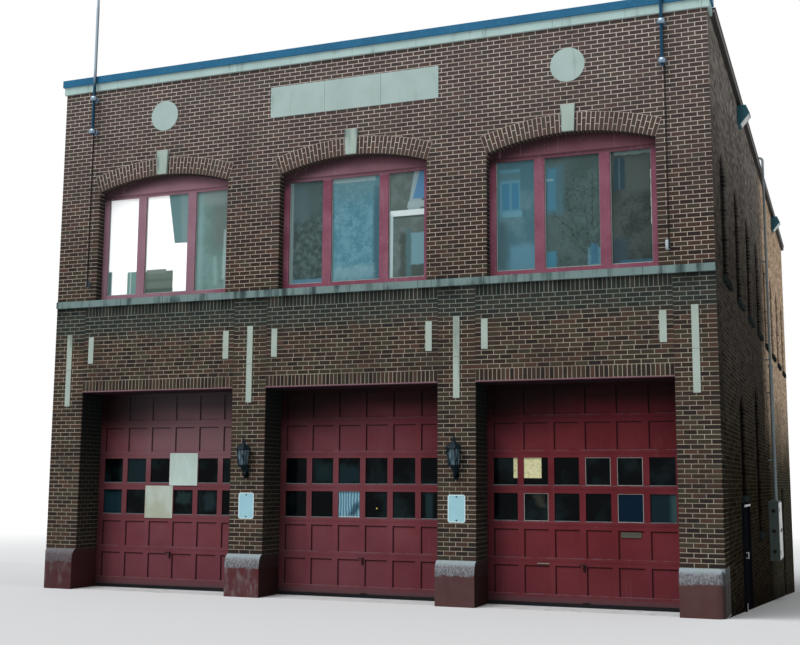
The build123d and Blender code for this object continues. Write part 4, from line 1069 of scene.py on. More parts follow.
brush = frames.noise(60.0, 2.0, (1.0, 1.0, 0.15))
dress(frames.surface(rose, 0.5 + frame_fade * 0.15, brush, 0.0006, 0.3), "front_window_frames")
side_frames = Finish("side_frame_paint")
side_fade = side_frames.noise(2.0, 4.0)
side_colour = side_frames.mix(side_fade.ramp(0.3, 0.7), (0.060, 0.022, 0.028), (0.10, 0.045, 0.050))
side_frame_paint = side_frames.surface(side_colour, 0.6, side_fade, 0.0008, 0.3)
dress(side_frame_paint, "side_window_frames")

# %% [markdown]
# ## Glass
# From the street the panes are mirrors of a bright winter sky, of the houses
# and bare trees across the road, and of curtains behind. A scene with only a
# floor has nothing of that to reflect, so each pane is painted with soft
# patches of what it mirrors. A patch is a row: its colour, its left, right,
# lower and upper edge as shares of the pane, then how soft and how ragged its
# edges are in metres, how far it leans, and its share.


# %% Patches of colour
class Patchwork:
    """Patches of colour laid over each other on the panes of an upright front."""

    def __init__(self, finish, colour):
        self.finish, self.colour = finish, colour
        self.wander = finish.noise(9.0, 4.0) - 0.5

    def lay(self, colour, x0, x1, z0, z1, soft=0.012, ragged=0.0, lean=0.0, share=1.0):
        x, z = self.finish.x, self.finish.z
        if lean:
            x = x - (z - z0) * lean
        if ragged:
            x = x + self.wander * ragged
            z = z + self.wander * ragged
        mask = x.within(x0, x1, soft) * z.within(z0, z1, soft)
        if share != 1.0:
            mask = mask * share
        self.colour = self.finish.mix(mask, self.colour, colour)

    def pane(self, x, z, width, height, patches):
        for colour, u0, u1, v0, v1, *how in patches:
            self.lay(colour, x + u0 * width, x + u1 * width, z + v0 * height, z + v1 * height, *how)


# %% The front windows' lights
LIGHT_START = {"a": -1.3165, "b": -0.4685, "c": 0.6435}
LIGHT_WIDTH = {"a": 0.673, "b": 0.937, "c": 0.673}
LIGHT_FOOT = band_top + 0.110
LIGHT_HEIGHT = 1.902
window_glass = Finish("window_glass")
dim_spots = window_glass.noise(1.1, 3.0).ramp(0.35, 0.7)
dim_pane = window_glass.mix(dim_spots, (0.012, 0.020, 0.024), (0.040, 0.058, 0.064))
panes = Patchwork(window_glass, dim_pane)


def paint_light(bay, letter, colour, mottling, *patches):
    """Paints one light. Mottling is a second colour, its noise's scale and ramp."""
    if mottling:
        mottled, grain, low, high = mottling
        spots = window_glass.noise(grain, 5.0, roughness=0.62).ramp(low, high)
        colour = window_glass.mix(spots, colour, mottled)
    ground = (colour, -0.05, 1.05, -0.03, 1.03, 0.001)
    panes.pane(bays[bay] + LIGHT_START[letter], LIGHT_FOOT, LIGHT_WIDTH[letter], LIGHT_HEIGHT,
               (ground, *patches))


# %% [markdown]
# The left window mirrors almost only sky, with the corner of a dark roof in it
# and a curtain behind its last light.

# %% Left window
SKY = (0.97, 1.00, 1.00)
paint_light(
    0, "a", SKY, None,
    ((0.10, 0.18, 0.18), 0.0, 0.13, 0.0, 0.25, 0.02),
    ((0.15, 0.27, 0.26), 0.66, 1.0, 0.0, 0.235),
    ((0.34, 0.46, 0.44), 0.74, 0.79, 0.0, 0.235, 0.006))
paint_light(
    0, "b", SKY, None,
    ((0.12, 0.22, 0.23), 0.68, 1.3, 0.50, 1.02, 0.012, 0, -0.16),
    ((0.20, 0.30, 0.30), 0.86, 1.1, 0.50, 1.02, 0.05, 0, -0.08, 0.6),
    ((0.125, 0.170, 0.145), 0.0, 0.66, 0.0, 0.225, 0.008),
    ((0.165, 0.215, 0.185), 0.03, 0.5, 0.20, 0.245, 0.015),
    ((0.07, 0.105, 0.09), 0.0, 0.66, 0.0, 0.05, 0.02),
    ((0.09, 0.125, 0.11), 0.0, 0.66, 0.12, 0.15, 0.012, 0, 0, 0.7))
paint_light(
    0, "c", (0.115, 0.210, 0.195), ((0.150, 0.255, 0.245), 2.5, 0.42, 0.62),
    ((0.12, 0.16, 0.15), 0.50, 1.1, 0.40, 0.90, 0.16, 0, 0, 0.8),
    ((0.21, 0.28, 0.27), 0.15, 1.0, 0.86, 1.05, 0.10, 0, 0, 0.8),
    ((0.20, 0.34, 0.34), 0.05, 0.22, 0.0, 1.0, 0.07, 0, 0, 0.7),
    ((0.34, 0.46, 0.46), 0.85, 0.93, 0.10, 0.60, 0.028, 0.03, 0.03, 0.7),
    ((0.24, 0.36, 0.36), 0.60, 0.72, 0.05, 0.34, 0.04, 0.03, -0.06, 0.6),
    ((0.30, 0.43, 0.43), 0.92, 1.1, 0.0, 0.40, 0.04, 0.05, 0, 0.7))

# %% [markdown]
# The middle window mirrors a bare tree, the sky through a dirty pane, and a
# porch with a pale beam and a slanting roof edge.

# %% Middle window
swirls = (window_glass.noise(7.0, 3.0) - 0.5).size().fall(0.004, 0.020)
paint_light(
    1, "a", (0.036, 0.062, 0.060), ((0.082, 0.130, 0.128), 10.0, 0.38, 0.72),
    ((0.060, 0.098, 0.100), 0.0, 1.0, 0.66, 1.0, 0.16),
    ((0.075, 0.130, 0.145), 0.0, 0.5, 0.60, 0.98, 0.12, 0, 0, 0.7),
    ((0.085, 0.190, 0.260), 0.0, 1.0, 0.0, 0.045, 0.015, 0.03),
    ((0.17, 0.24, 0.24), 0.0, 0.10, 0.0, 1.0, 0.02, 0.02))
paint_light(
    1, "b", (0.066, 0.190, 0.245), ((0.112, 0.258, 0.312), 6.0, 0.36, 0.66),
    ((0.19, 0.37, 0.42), 0.0, 0.86, 0.1, 0.95, 0.05, 0, 0, swirls * 0.45),
    ((0.045, 0.115, 0.150), 0.86, 1.0, 0.0, 0.9, 0.04, 0.05),
    ((0.30, 0.47, 0.50), 0.05, 0.9, 0.02, 0.14, 0.06, 0.22, 0, 0.3),
    ((0.110, 0.215, 0.235), 0.0, 1.0, 0.80, 1.10, 0.25, 0, 0, 0.6),
    ((0.22, 0.33, 0.34), 0.0, 0.9, 0.955, 1.0, 0.02, 0.03))
paint_light(
    1, "c", (0.090, 0.125, 0.118), ((0.120, 0.165, 0.160), 4.0, 0.42, 0.62),
    ((0.045, 0.065, 0.060), 0.30, 1.0, 0.0, 0.42, 0.05, 0.22, 0, 0.8),
    ((0.14, 0.27, 0.31), 0.52, 1.0, 0.12, 0.42, 0.02, 0.05),
    ((0.07, 0.14, 0.15), 0.48, 0.62, 0.0, 0.46, 0.03, 0.06),
    ((0.24, 0.34, 0.36), 0.52, 0.86, 0.63, 1.02, 0.014, 0, 0.17),
    ((0.085, 0.215, 0.360), 0.66, 1.4, 0.74, 1.02, 0.012, 0, 0.26),
    ((0.27, 0.37, 0.38), 0.5, 1.0, 0.66, 0.72, 0.012, 0, 0.2),
    ((0.60, 0.70, 0.71), 0.02, 1.0, 0.585, 0.640, 0.006),
    ((0.055, 0.080, 0.078), 0.10, 1.0, 0.565, 0.585, 0.006),
    ((0.40, 0.52, 0.54), 0.02, 0.11, 0.0, 0.60, 0.01))

# %% [markdown]
# The right window mirrors a house front with its own windows behind a tree,
# whose branches are thin dark patches that lean.

# %% Right window
twigs = (window_glass.noise(7.0, 5.0, roughness=0.62) - 0.5).size().fall(0.004, 0.022)
BRANCHES = (
    (0.80, 0.10, 0.55, -0.10), (0.72, 0.10, 0.46, -0.55), (0.86, 0.12, 0.40, 0.35),
    (0.60, 0.26, 0.62, -0.30), (0.84, 0.30, 0.85, 0.02), (0.50, 0.30, 0.50, -0.9),
)
paint_light(
    2, "a", (0.052, 0.130, 0.160), ((0.085, 0.175, 0.205), 2.2, 0.42, 0.62),
    ((0.075, 0.205, 0.265), 0.08, 0.62, 0.50, 0.93, 0.02, 0.03),
    ((0.042, 0.155, 0.245), 0.15, 0.34, 0.56, 0.80, 0.012, 0.02),
    ((0.042, 0.155, 0.245), 0.40, 0.58, 0.56, 0.80, 0.012, 0.02),
    ((0.060, 0.125, 0.140), 0.06, 0.66, 0.83, 0.90, 0.02, 0, 0, 0.7),
    ((0.100, 0.240, 0.300), 0.16, 0.66, 0.49, 0.545, 0.012, 0.02),
    ((0.085, 0.210, 0.280), 0.32, 1.05, -0.02, 0.23, 0.07, 0.12, 0, 0.85),
    ((0.050, 0.105, 0.125), 0.0, 0.28, 0.0, 0.45, 0.10))
paint_light(
    2, "b", (0.046, 0.080, 0.078), ((0.066, 0.108, 0.108), 3.0, 0.36, 0.66),
    ((0.020, 0.034, 0.034), 0.18, 1.1, -0.1, 0.86, 0.16, 0.1, 0, twigs * 0.75),
    ((0.055, 0.130, 0.160), 0.0, 0.34, 0.48, 0.93, 0.05, 0.10, 0, 0.8),
    ((0.050, 0.165, 0.235), 0.05, 0.20, 0.52, 0.90, 0.02, 0.05, 0, 0.85),
    ((0.15, 0.27, 0.31), 0.03, 0.16, 0.79, 0.81, 0.006, 0.03),
    ((0.045, 0.160, 0.230), 0.0, 0.20, 0.0, 0.15, 0.03, 0.10),
    ((0.080, 0.190, 0.240), 0.76, 1.0, 0.0, 0.17, 0.02, 0.12),
    ((0.040, 0.125, 0.190), 0.82, 0.95, 0.02, 0.20, 0.02, 0.06),
    *(((0.016, 0.028, 0.028), u, u + 0.022, v0, v1, 0.01, 0.14, lean, 0.45)
      for u, v0, v1, lean in BRANCHES))
paint_light(
    2, "c", (0.030, 0.043, 0.041), ((0.052, 0.072, 0.069), 3.0, 0.36, 0.66),
    ((0.012, 0.020, 0.019), 0.1, 1.0, 0.0, 0.70, 0.1, 0, 0, twigs * 0.7),
    ((0.062, 0.086, 0.080), 0.30, 1.0, 0.62, 0.95, 0.10, 0, 0, 0.8),
    ((0.022, 0.048, 0.062), 0.08, 0.36, 0.66, 0.94, 0.02, 0.03),
    ((0.055, 0.100, 0.115), 0.20, 0.235, 0.66, 0.94, 0.006, 0.02),
    ((0.16, 0.23, 0.23), 0.10, 1.0, 0.965, 1.0, 0.012, 0.08, 0, 0.7),
    ((0.026, 0.062, 0.086), 0.0, 0.40, 0.0, 0.22, 0.06, 0.2, 0, 0.5),
    ((0.035, 0.095, 0.140), 0.2, 1.0, 0.0, 0.035, 0.02, 0.03),
    ((0.40, 0.46, 0.45), 0.975, 1.0, 0.33, 0.82, 0.006, 0.035))

# %% Window glass, the front's patches in front and dim panes elsewhere
glass_colour = window_glass.mix(window_glass.y.fall(0.5, 0.6), dim_pane, panes.colour)
sky_share = window_glass.node("RGBToBW", {}, glass_colour).ramp(0.80, 0.90)
sky_glow = window_glass.mix(sky_share, (0.0, 0.0, 0.0), (1.0, 1.0, 1.0))
ripple = window_glass.noise(1.6, 2.0)
dress(window_glass.surface(glass_colour, 0.09, ripple, 0.004, 0.12, Specular_IOR_Level=0.10,
                           Emission_Color=sky_glow, Emission_Strength=0.22), "window_glass")

# %% [markdown]
# The engine doors' panes are nearly black, because the bay behind is unlit.
# One has a pleated curtain, one mirrors a lit yard, one has a blue sheet in it
# and one is hazy.

# %% Door glass
door_glass = Finish("door_glass")
pane_spots = door_glass.noise(2.4, 4.0).ramp(0.46, 0.72)
yard = Patchwork(door_glass, door_glass.mix(pane_spots, (0.0006, 0.0015, 0.0020), (0.006, 0.013, 0.0145)))
# the curtain's pleats are painted as light and shade
pleat_light_and_shade = (door_glass.x * 115.0 + door_glass.noise(4.0, 2.0) * 9.0).wave().ramp(-0.9, 0.7)
curtain = door_glass.mix(pleat_light_and_shade, (0.055, 0.155, 0.220), (0.22, 0.40, 0.49))
branches = (door_glass.noise(9.0, 6.0, roughness=0.65) - 0.5).size().fall(0.003, 0.018)
lit_yard = door_glass.mix(branches * 0.75, (0.74, 0.72, 0.42), (0.20, 0.22, 0.13))
# door, column and row of a pane, and then its patch
DOOR_PATCHES = (
    (1, 2, 2, curtain, -0.1, 1.1, -0.1, 1.1, 0.004),
    # a painted shadow over the curtain's lower right
    (1, 2, 2, (0.012, 0.045, 0.075), 0.42, 0.78, 0.06, 0.60, 0.05, 0.12, 0.6, 0.85),
    (1, 2, 2, (0.56, 0.62, 0.64), 0.0, 1.0, 0.0, 0.05, 0.006),
    (1, 3, 2, (0.85, 0.72, 0.14), 0.485, 0.535, 0.345, 0.390, 0.006),
    (2, 0, 3, lit_yard, 0.82, 1.3, 0.26, 1.0, 0.006),
    (2, 1, 3, lit_yard, -0.2, 0.72, 0.26, 1.0, 0.006),
    (2, 4, 2, (0.0008, 0.0105, 0.0250), -0.1, 1.1, -0.1, 1.1, 0.004),
    (2, 5, 2, (0.005, 0.017, 0.023), 0.0, 1.1, -0.1, 1.1, 0.05),
    (2, 5, 2, (0.036, 0.080, 0.084), 0.78, 1.1, -0.1, 1.1, 0.05, 0, 0, 0.8),
    (0, 0, 2, (0.008, 0.026, 0.034), 0.0, 1.0, 0.0, 0.9, 0.08),
    (0, 1, 3, (0.006, 0.016, 0.020), 0.0, 1.0, 0.0, 1.0, 0.06),
    (0, 4, 2, (0.010, 0.022, 0.026), 0.35, 0.85, 0.2, 0.9, 0.05, 0.2),
    (0, 3, 2, (0.012, 0.026, 0.028), 0.15, 0.85, 0.45, 0.95, 0.04, 0.2),
    (1, 1, 3, (0.006, 0.017, 0.018), 0.1, 0.9, 0.1, 0.8, 0.08, 0.1),
    (1, 2, 3, (0.006, 0.018, 0.023), 0.0, 1.0, 0.0, 0.7, 0.08, 0.2),
    (1, 5, 2, (0.010, 0.026, 0.030), 0.2, 0.5, 0.0, 1.0, 0.03),
    (2, 1, 2, (0.050, 0.055, 0.040), 0.55, 0.95, 0.5, 1.0, 0.05, 0.15, -0.4, 0.5),
)
for bay, column, row, *patch in DOOR_PATCHES:
    yard.pane(bays[bay] + cell_starts[column], cell_feet[row], cell_width, cell_height, [patch])
dress(door_glass.surface(yard.colour, 0.12, door_glass.noise(2.0, 2.0), 0.003, 0.1,
                         Specular_IOR_Level=0.05), "door_glass")

# %% [markdown]
# ## Wheel guards
# Wheels and boots have worn the guards' rounded noses to bare pale cement, and
# the top of each nose is painted lighter as a highlight. Below, old maroon paint
# is left with pale drips in it, and the cheeks inside the doorways and the outer
# end are painted almost black as shade.

# %% Guard paint
guards = Finish("guard_paint")
smear = guards.noise(4.5, 5.0)
drips = guards.streaks(12.0, 4.0, 0.22) * 0.6 + guards.noise(5.0, 4.0) * 0.4
rightward = guards.x.ramp(-5.2, -3.0)
worn_line = guards.z + (guards.noise(9.0, 6.0, roughness=0.7) - 0.5) * 0.20
nose = worn_line.ramp(guard_top - 0.255, guard_top - 0.215)
speckle = guards.noise(44.0, 5.0, (1.0, 1.0, 0.6), roughness=0.75).ramp(0.40, 0.60)
worn = guards.layers(
    (0.090, 0.082, 0.092),
    (speckle, (0.220, 0.240, 0.262)),
    # the top of the nose is painted lighter as a highlight
    (guards.z.ramp(guard_top - 0.12, guard_top - 0.01) * 0.7, (0.300, 0.385, 0.410)),
)
sideways = guards.facing()[0]
outer_end_shade = sideways.ramp(0.6, 0.9) * guards.x.ramp(right - 0.05, right - 0.02)
cheek_shade = sideways.size().ramp(0.6, 0.9) * guards.x.size().fall(right - 0.05, right - 0.02)
guard_paint = guards.layers(
    (0.082, 0.022, 0.025),
    (smear.ramp(0.35, 0.65), (0.092, 0.044, 0.046)),
    (guards.x.ramp(0.0, 1.0) * 0.7, (0.078, 0.042, 0.040)),
    (drips.ramp(0.50, 0.66) * guards.x.fall(0.0, 1.0) * 0.6, (0.190, 0.150, 0.155)),
    (nose * (rightward * 0.35 + 0.6), worn),
    (guards.x.fall(-5.2, -3.0) * 0.40, (0.036, 0.019, 0.021)),
    # painted shade on the outer end and on the cheeks inside the doorways
    (outer_end_shade * 0.80, (0.014, 0.017, 0.015)),
    (cheek_shade * 0.95, guards.mix(rightward, (0.045, 0.0135, 0.0150), (0.019, 0.0062, 0.0062))),
)
dress(guards.surface(guard_paint, 0.82, smear, 0.006, 0.5), "wheel_guards")

# %% [markdown]
# ## Lantern glass, notice plates and lenses
# The lanterns' panes are reeded, and their light and dark upright lines are painted highlights and shade.
# The blank plates are pale cyan sheets with a lighter rim.

# %% Lantern glass
reeded = Finish("lantern_glass")
# the reeds' light and dark lines are painted highlights and shade
reeds_and_glints = reeded.streaks(42.0, 2.0, 0.12).ramp(0.40, 0.62)
reeded_colour = reeded.layers(
    (0.005, 0.013, 0.018),
    (reeds_and_glints, (0.100, 0.155, 0.185)),
    (reeded.noise(9.0, 2.0).ramp(0.35, 0.65) * 0.20, (0.18, 0.27, 0.32)),
)
dress(reeded.surface(reeded_colour, 0.16, reeds_and_glints, 0.002, 0.5, Specular_IOR_Level=0.1), "lantern_glass")

# %% Plates
PLATE_RIM = 0.013
PLATE_WIDTH = 0.305
plate_low, plate_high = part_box("notice_plates")
plate_x = plate_high.x - PLATE_WIDTH / 2
plate_height = plate_high.z - plate_low.z
plate = Finish("notice_plate")
off_x = (plate.x.size() - plate_x).size() - (PLATE_WIDTH / 2 - PLATE_RIM)
off_z = (plate.z - (plate_low.z + plate_height / 2)).size() - (plate_height / 2 - PLATE_RIM)
plate_colour = plate.layers(
    (0.285, 0.515, 0.590),
    (plate.noise(5.0, 4.0).ramp(0.35, 0.75), (0.325, 0.560, 0.630)),
    (plate.streaks(18.0, 2.0).ramp(0.62, 0.8) * 0.3, (0.24, 0.40, 0.45)),
    (off_x.larger(off_z).ramp(-0.003, 0.0), (0.60, 0.72, 0.76)),
)
dress(plate.surface(plate_colour, 0.42, plate.noise(30.0, 2.0), 0.0005, 0.2), "notice_plates")

# %% Floodlight lenses
lens = Finish("floodlight_lens")
prisms = (lens.y * 220.0).wave()
lens_colour = lens.mix(prisms.ramp(-0.6, 0.6), (0.42, 0.47, 0.48), (0.66, 0.70, 0.70))
dress(lens.surface(lens_colour, 0.2, prisms, 0.002, 0.4), "floodlight_lenses")

# %% [markdown]
# ## Small fittings
# Bolts, glazing bars and beads are too many and too small for the solid model.
# `Fitting` gathers bevelled bars and round heads in one mesh and makes them one
# piece. A bar's place is given in a wall's own plane: length, outward and up.


# %% A gathered piece
class Fitting:
    """Small shapes gathered in one mesh, on a wall's plane."""

    def __init__(self, plane=front_plane):
        self.plane = plane
        self.mesh = bmesh.new()

    def bar(self, x0, x1, out0, out1, z0, z1, bevel=0.0):
        middle = Vector(((x0 + x1) / 2, (out0 + out1) / 2, (z0 + z1) / 2))
        size = Matrix.Diagonal((x1 - x0, out1 - out0, z1 - z0, 1.0))
        place = self.plane @ Matrix.Translation(middle) @ size
        made = bmesh.ops.create_cube(self.mesh, size=1.0, matrix=place)
        if bevel:
            edges = list({edge for vertex in made["verts"] for edge in vertex.link_edges})
            bmesh.ops.bevel(self.mesh, geom=edges, offset=bevel, offset_type="OFFSET", segments=1,
                            profile=0.5, affect="EDGES", clamp_overlap=True, material=-1)

    def block(self, x, z, half_width, half_height, out0, out1, bevel=0.0):
        """A bar by its middle and half its sizes."""
        self.bar(x - half_width, x + half_width, out0, out1, z - half_height, z + half_height, bevel)

    def head(self, x, z, out0, out1, radius, sides=12, tip=1.0):
        """A round, hexagonal or tapered head that stands out from the wall."""
        place = self.plane @ Matrix.Translation((x, (out0 + out1) / 2, z))
        place = place @ Matrix.Rotation(-math.pi / 2, 4, "X")
        bmesh.ops.create_cone(self.mesh, cap_ends=True, segments=sides, radius1=radius,
                              radius2=radius * tip, depth=out1 - out0, matrix=place)


# %% [markdown]
# Each pane of the front windows is held by a thin bead, painted pale as a
# highlight, and the two-part sashes of the side and rear windows have a meeting
# rail and an upright bar.

# %% Front glazing beads
PANE_FACE = -0.225
BEAD = 0.016
beads = Fitting()
bead_out = PANE_FACE, PANE_FACE + BEAD
for bay in bays:
    for letter in "abc":
        x0 = bay + LIGHT_START[letter]
        x1 = x0 + LIGHT_WIDTH[letter]
        foot, top = LIGHT_FOOT, LIGHT_FOOT + LIGHT_HEIGHT
        beads.bar(x0, x0 + BEAD, *bead_out, foot, top, 0.004)
        beads.bar(x0 + BEAD, x1, *bead_out, foot, foot + BEAD, 0.004)
        beads.bar(x1 - BEAD / 2, x1, *bead_out, foot + BEAD, top, 0.003)
# the beads' pale colour is a painted highlight
lit_bead_paint = painted_metal("lit_bead_paint", (0.30, 0.34, 0.33), 0.6, (0.16, 0.07, 0.09), 0.5)
piece_from("front_glazing_beads", beads.mesh, lit_bead_paint)

# %% Sash bars
SASH_FRAME = 0.062
SASH_BAR = 0.022
MEETING_RAIL = 0.048
SASH_OUT = (-0.152, -0.128)
SASH_BEVEL = 0.004
sash_walls = (
    ("right_sash_bars", right_plane, side_windows),
    ("left_sash_bars", left_plane, left_windows),
    ("rear_sash_bars", rear_plane, rear_windows),
)
for name, plane, openings in sash_walls:
    bars = Fitting(plane)
    for opening in openings:
        x, inner = opening.middle, opening.half - SASH_FRAME
        foot = opening.foot + SASH_FRAME
        crown = opening.centre + opening.radius - SASH_FRAME
        meeting = SASH_OUT[0], SASH_OUT[1] + 0.006
        bars.block(x, (foot + crown) / 2, inner, MEETING_RAIL / 2, *meeting, SASH_BEVEL)
        bars.block(x, (foot + crown) / 2, SASH_BAR / 2, (crown - foot) / 2, *SASH_OUT, SASH_BEVEL)
        for edge in (x - inner, x + inner - SASH_BAR):
            bars.bar(edge, edge + SASH_BAR, *SASH_OUT, foot, opening.springing, SASH_BEVEL)
        bars.bar(x - inner, x + inner, *SASH_OUT, foot, foot + MEETING_RAIL, SASH_BEVEL)
    piece_from(name, bars.mesh, side_frame_paint)

# %% [markdown]
# ## Fittings of the engine doors
# A gasket lies along the foot of every door pane, painted pale as a highlight,
# and a few panes have a pale gasket all round. Each door has a dark T handle in
# the middle with a slotted plate under it, and the two right doors a latch at
# their foot. Screws hold the boards.

# %% Pane gaskets
DOOR_GASKET = 0.011
GASKET_BEVEL = 0.002
GASKET_OUT = (-door_face - 0.022, -door_face - 0.004)
BOARDED = ((0, 3, 3), (0, 2, 2))
FRAMED = ((2, 3, 3), (2, 3, 4), (2, 2, 4), (2, 2, 1))
gaskets = Fitting()
pale_gaskets = Fitting()
panes_of_doors = [(bay, row, column) for bay in range(3) for row in (2, 3) for column in range(COLUMNS)]
for bay, row, column in panes_of_doors:
    x0, z0 = bays[bay] + cell_starts[column], cell_feet[row]
    x1, z1 = x0 + cell_width, z0 + cell_height
    if (bay, row, column) in FRAMED:
        for side in (x0, x1 - DOOR_GASKET):
            pale_gaskets.bar(side, side + DOOR_GASKET, *GASKET_OUT, z0, z1, GASKET_BEVEL)
        for side in (z0, z1 - DOOR_GASKET):
            pale_gaskets.bar(x0 + DOOR_GASKET, x1 - DOOR_GASKET, *GASKET_OUT, side, side + DOOR_GASKET,
                             GASKET_BEVEL)
    elif (bay, row, column) not in BOARDED:
        gaskets.bar(x0, x1, *GASKET_OUT, z0, z0 + DOOR_GASKET, GASKET_BEVEL)
# the foot gaskets' pale colour is a painted highlight
lit_gasket_paint = painted_metal("lit_gasket_paint", (0.165, 0.200, 0.215), 0.6, (0.05, 0.03, 0.03), 0.5)
pale_gasket_paint = painted_metal("pale_gasket_paint", (0.30, 0.315, 0.30), 0.6, (0.12, 0.09, 0.08), 0.4)
piece_from("door_pane_gaskets", gaskets.mesh, lit_gasket_paint)
piece_from("pale_door_gaskets", pale_gaskets.mesh, pale_gasket_paint)

# %% Handles, latches and screws
ESCUTCHEON = band_top - 4.8375
ESCUTCHEON_HALF = 0.0475
LATCH_LEVEL = band_top - 5.385
leaf_out = -door_face
locks = Fitting()
for index, bay in enumerate(bays):
    x = bay + 0.015
    locks.block(x, ESCUTCHEON, 0.020, ESCUTCHEON_HALF, leaf_out, leaf_out + 0.008, 0.003)
    locks.block(x, ESCUTCHEON, 0.0035, ESCUTCHEON_HALF - 0.02, leaf_out + 0.006, leaf_out + 0.010)
    locks.head(x, ESCUTCHEON + ESCUTCHEON_HALF + 0.01, leaf_out, leaf_out + 0.016, 0.022, 16, 0.8)
    if index:
        locks.block(bay + 0.04, LATCH_LEVEL, 0.06, 0.016, leaf_out, leaf_out + 0.018, 0.005)
        locks.head(bay + 0.04, LATCH_LEVEL, leaf_out + 0.018, leaf_out + 0.03, 0.012, 10, 0.8)
dark_iron = painted_metal("dark_iron", (0.020, 0.009, 0.010), 0.5, (0.06, 0.04, 0.03), 0.3, 0.4)
piece_from("door_locks", locks.mesh, dark_iron)

BOARD_SIDE = 0.606
SCREW_INSET = 0.035
board_low, board_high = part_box("door_boards")
screw_out = -board_low.y - 0.001, -board_low.y + 0.0025
screws = Fitting()
for x0, z0 in ((board_low.x, board_low.z), (board_high.x - BOARD_SIDE, board_high.z - BOARD_SIDE)):
    for u in (SCREW_INSET, BOARD_SIDE / 2, BOARD_SIDE - SCREW_INSET):
        for v in (SCREW_INSET, BOARD_SIDE - SCREW_INSET):
            screws.head(x0 + u, z0 + v, *screw_out, 0.0055, 8, 0.7)
screw_metal = painted_metal("screw_metal", (0.30, 0.31, 0.31), 0.4, RUST, 0.4, 0.8)
piece_from("board_screws", screws.mesh, screw_metal)

# %% [markdown]
# ## Fittings of the walls
# The plates hang on two bolts each. The flagpoles' flanges are bolted with
# hexagonal heads, and a hank of spare halyard is tied round each cleat.

# %% Plate and flange bolts
PLATE_BOLT_INSET = 0.036
POLE_X = right - 0.723
FLANGE_LEVELS = (street + 8.806, street + 9.474)
FLANGE_BOLT_RING = 0.040
plate_out = -plate_low.y
bolts = Fitting()
flange_bolts = Fitting()
for side in (-1, 1):
    for z in (plate_low.z + PLATE_BOLT_INSET, plate_high.z - PLATE_BOLT_INSET):
        bolts.head(side * plate_x, z, plate_out - 0.001, plate_out + 0.003, 0.013, 14)
        bolts.head(side * plate_x, z, plate_out + 0.003, plate_out + 0.009, 0.008, 6)
    for level in FLANGE_LEVELS:
        for degrees in (45, 135, 225, 315):
            angle = math.radians(degrees)
            x = side * POLE_X + FLANGE_BOLT_RING * math.cos(angle)
            flange_bolts.head(x, level + FLANGE_BOLT_RING * math.sin(angle), 0.009, 0.017, 0.0085, 6)
piece_from("plate_bolts", bolts.mesh, dark_iron)
bright = painted_metal("bolt_metal", (0.42, 0.46, 0.50), 0.35, RUST, 0.3, 0.8)
piece_from("flange_bolts", flange_bolts.mesh, bright)

# %% [markdown]
# A hank is a rope wound up and down round the cleat's horns. Each turn is a
# ring made by spinning a small circle, squeezed narrow and tall, and the turns
# lie side by side.

# %% Cleat hanks
CLEAT_LEVEL = street + 5.780
HANK_TURNS = 5
HANK_ROPE = 0.006
HANK_SPIN = 0.030
HANK_HALF_HEIGHT = 0.085
HANK_NARROWING = 0.62
HANK_OUT = 0.052
hank_rope = Finish("hank_rope")
twist = (hank_rope.z * 700.0).wave()
right_hank = hank_rope.x.ramp(-0.1, 0.1)
hank_dark = hank_rope.mix(right_hank, (0.020, 0.022, 0.026), (0.30, 0.38, 0.44))
# pale stripes along the twist are painted highlights on the rope
hank_twist_highlight = hank_rope.mix(right_hank, (0.180, 0.190, 0.200), (0.66, 0.72, 0.74))
hank_colour = hank_rope.mix(twist.ramp(-0.7, 0.7), hank_dark, hank_twist_highlight)
hanks = bmesh.new()
for side in (-1, 1):
    for turn in range(HANK_TURNS):
        ring = bmesh.ops.create_circle(hanks, segments=6, radius=HANK_ROPE,
                                       matrix=Matrix.Translation((HANK_SPIN, 0, 0)))
        edges = list({edge for vertex in ring["verts"] for edge in vertex.link_edges})
        bmesh.ops.spin(hanks, geom=ring["verts"] + edges, cent=(0, 0, 0), axis=(0, 1, 0),
                       angle=2 * math.pi, steps=16, use_merge=True, use_duplicate=False)
        fresh = [vertex for vertex in hanks.verts if not vertex.tag]
        x = side * POLE_X + (turn - (HANK_TURNS - 1) / 2) * HANK_ROPE * 1.9
        stretch = HANK_HALF_HEIGHT / (HANK_SPIN + HANK_ROPE) * (1.0 - 0.05 * (turn % 2))
        reshape = Matrix.Translation((x, -HANK_OUT, CLEAT_LEVEL)) @ Matrix.Rotation(math.pi / 2, 4, "Z")
        reshape = reshape @ Matrix.Diagonal((HANK_NARROWING, 1.0, stretch, 1.0))
        bmesh.ops.transform(hanks, matrix=reshape, verts=fresh)
        for vertex in fresh:
            vertex.tag = True
piece_from("cleat_hanks", hanks, hank_rope.surface(hank_colour, 0.9, twist, 0.0008, 0.5))

# %% [markdown]
# Each lantern is made again with the wide brim, corner bars and beads of the
# real one, on the bracket that the model gives it. Its stages are tapered six
# sided drums, turned so that a flat side is towards the wall. All levels are
# above the tray's foot.

# %% Lanterns
TRAY_FOOT = street + 2.272
LANTERN_OUT = 0.150
GLASS_FOOT, GLASS_TOP = 0.026, 0.288
GLASS_FOOT_RADIUS, GLASS_TOP_RADIUS = 0.094, 0.124
GLASS_SHEET = 0.006
WALL_PLATE = 0.014
# foot, top and half width of each step of the wall plate
WALL_PLATE_STEPS = ((-0.215, -0.185, 0.030), (-0.185, 0.005, 0.045), (0.005, 0.035, 0.030))
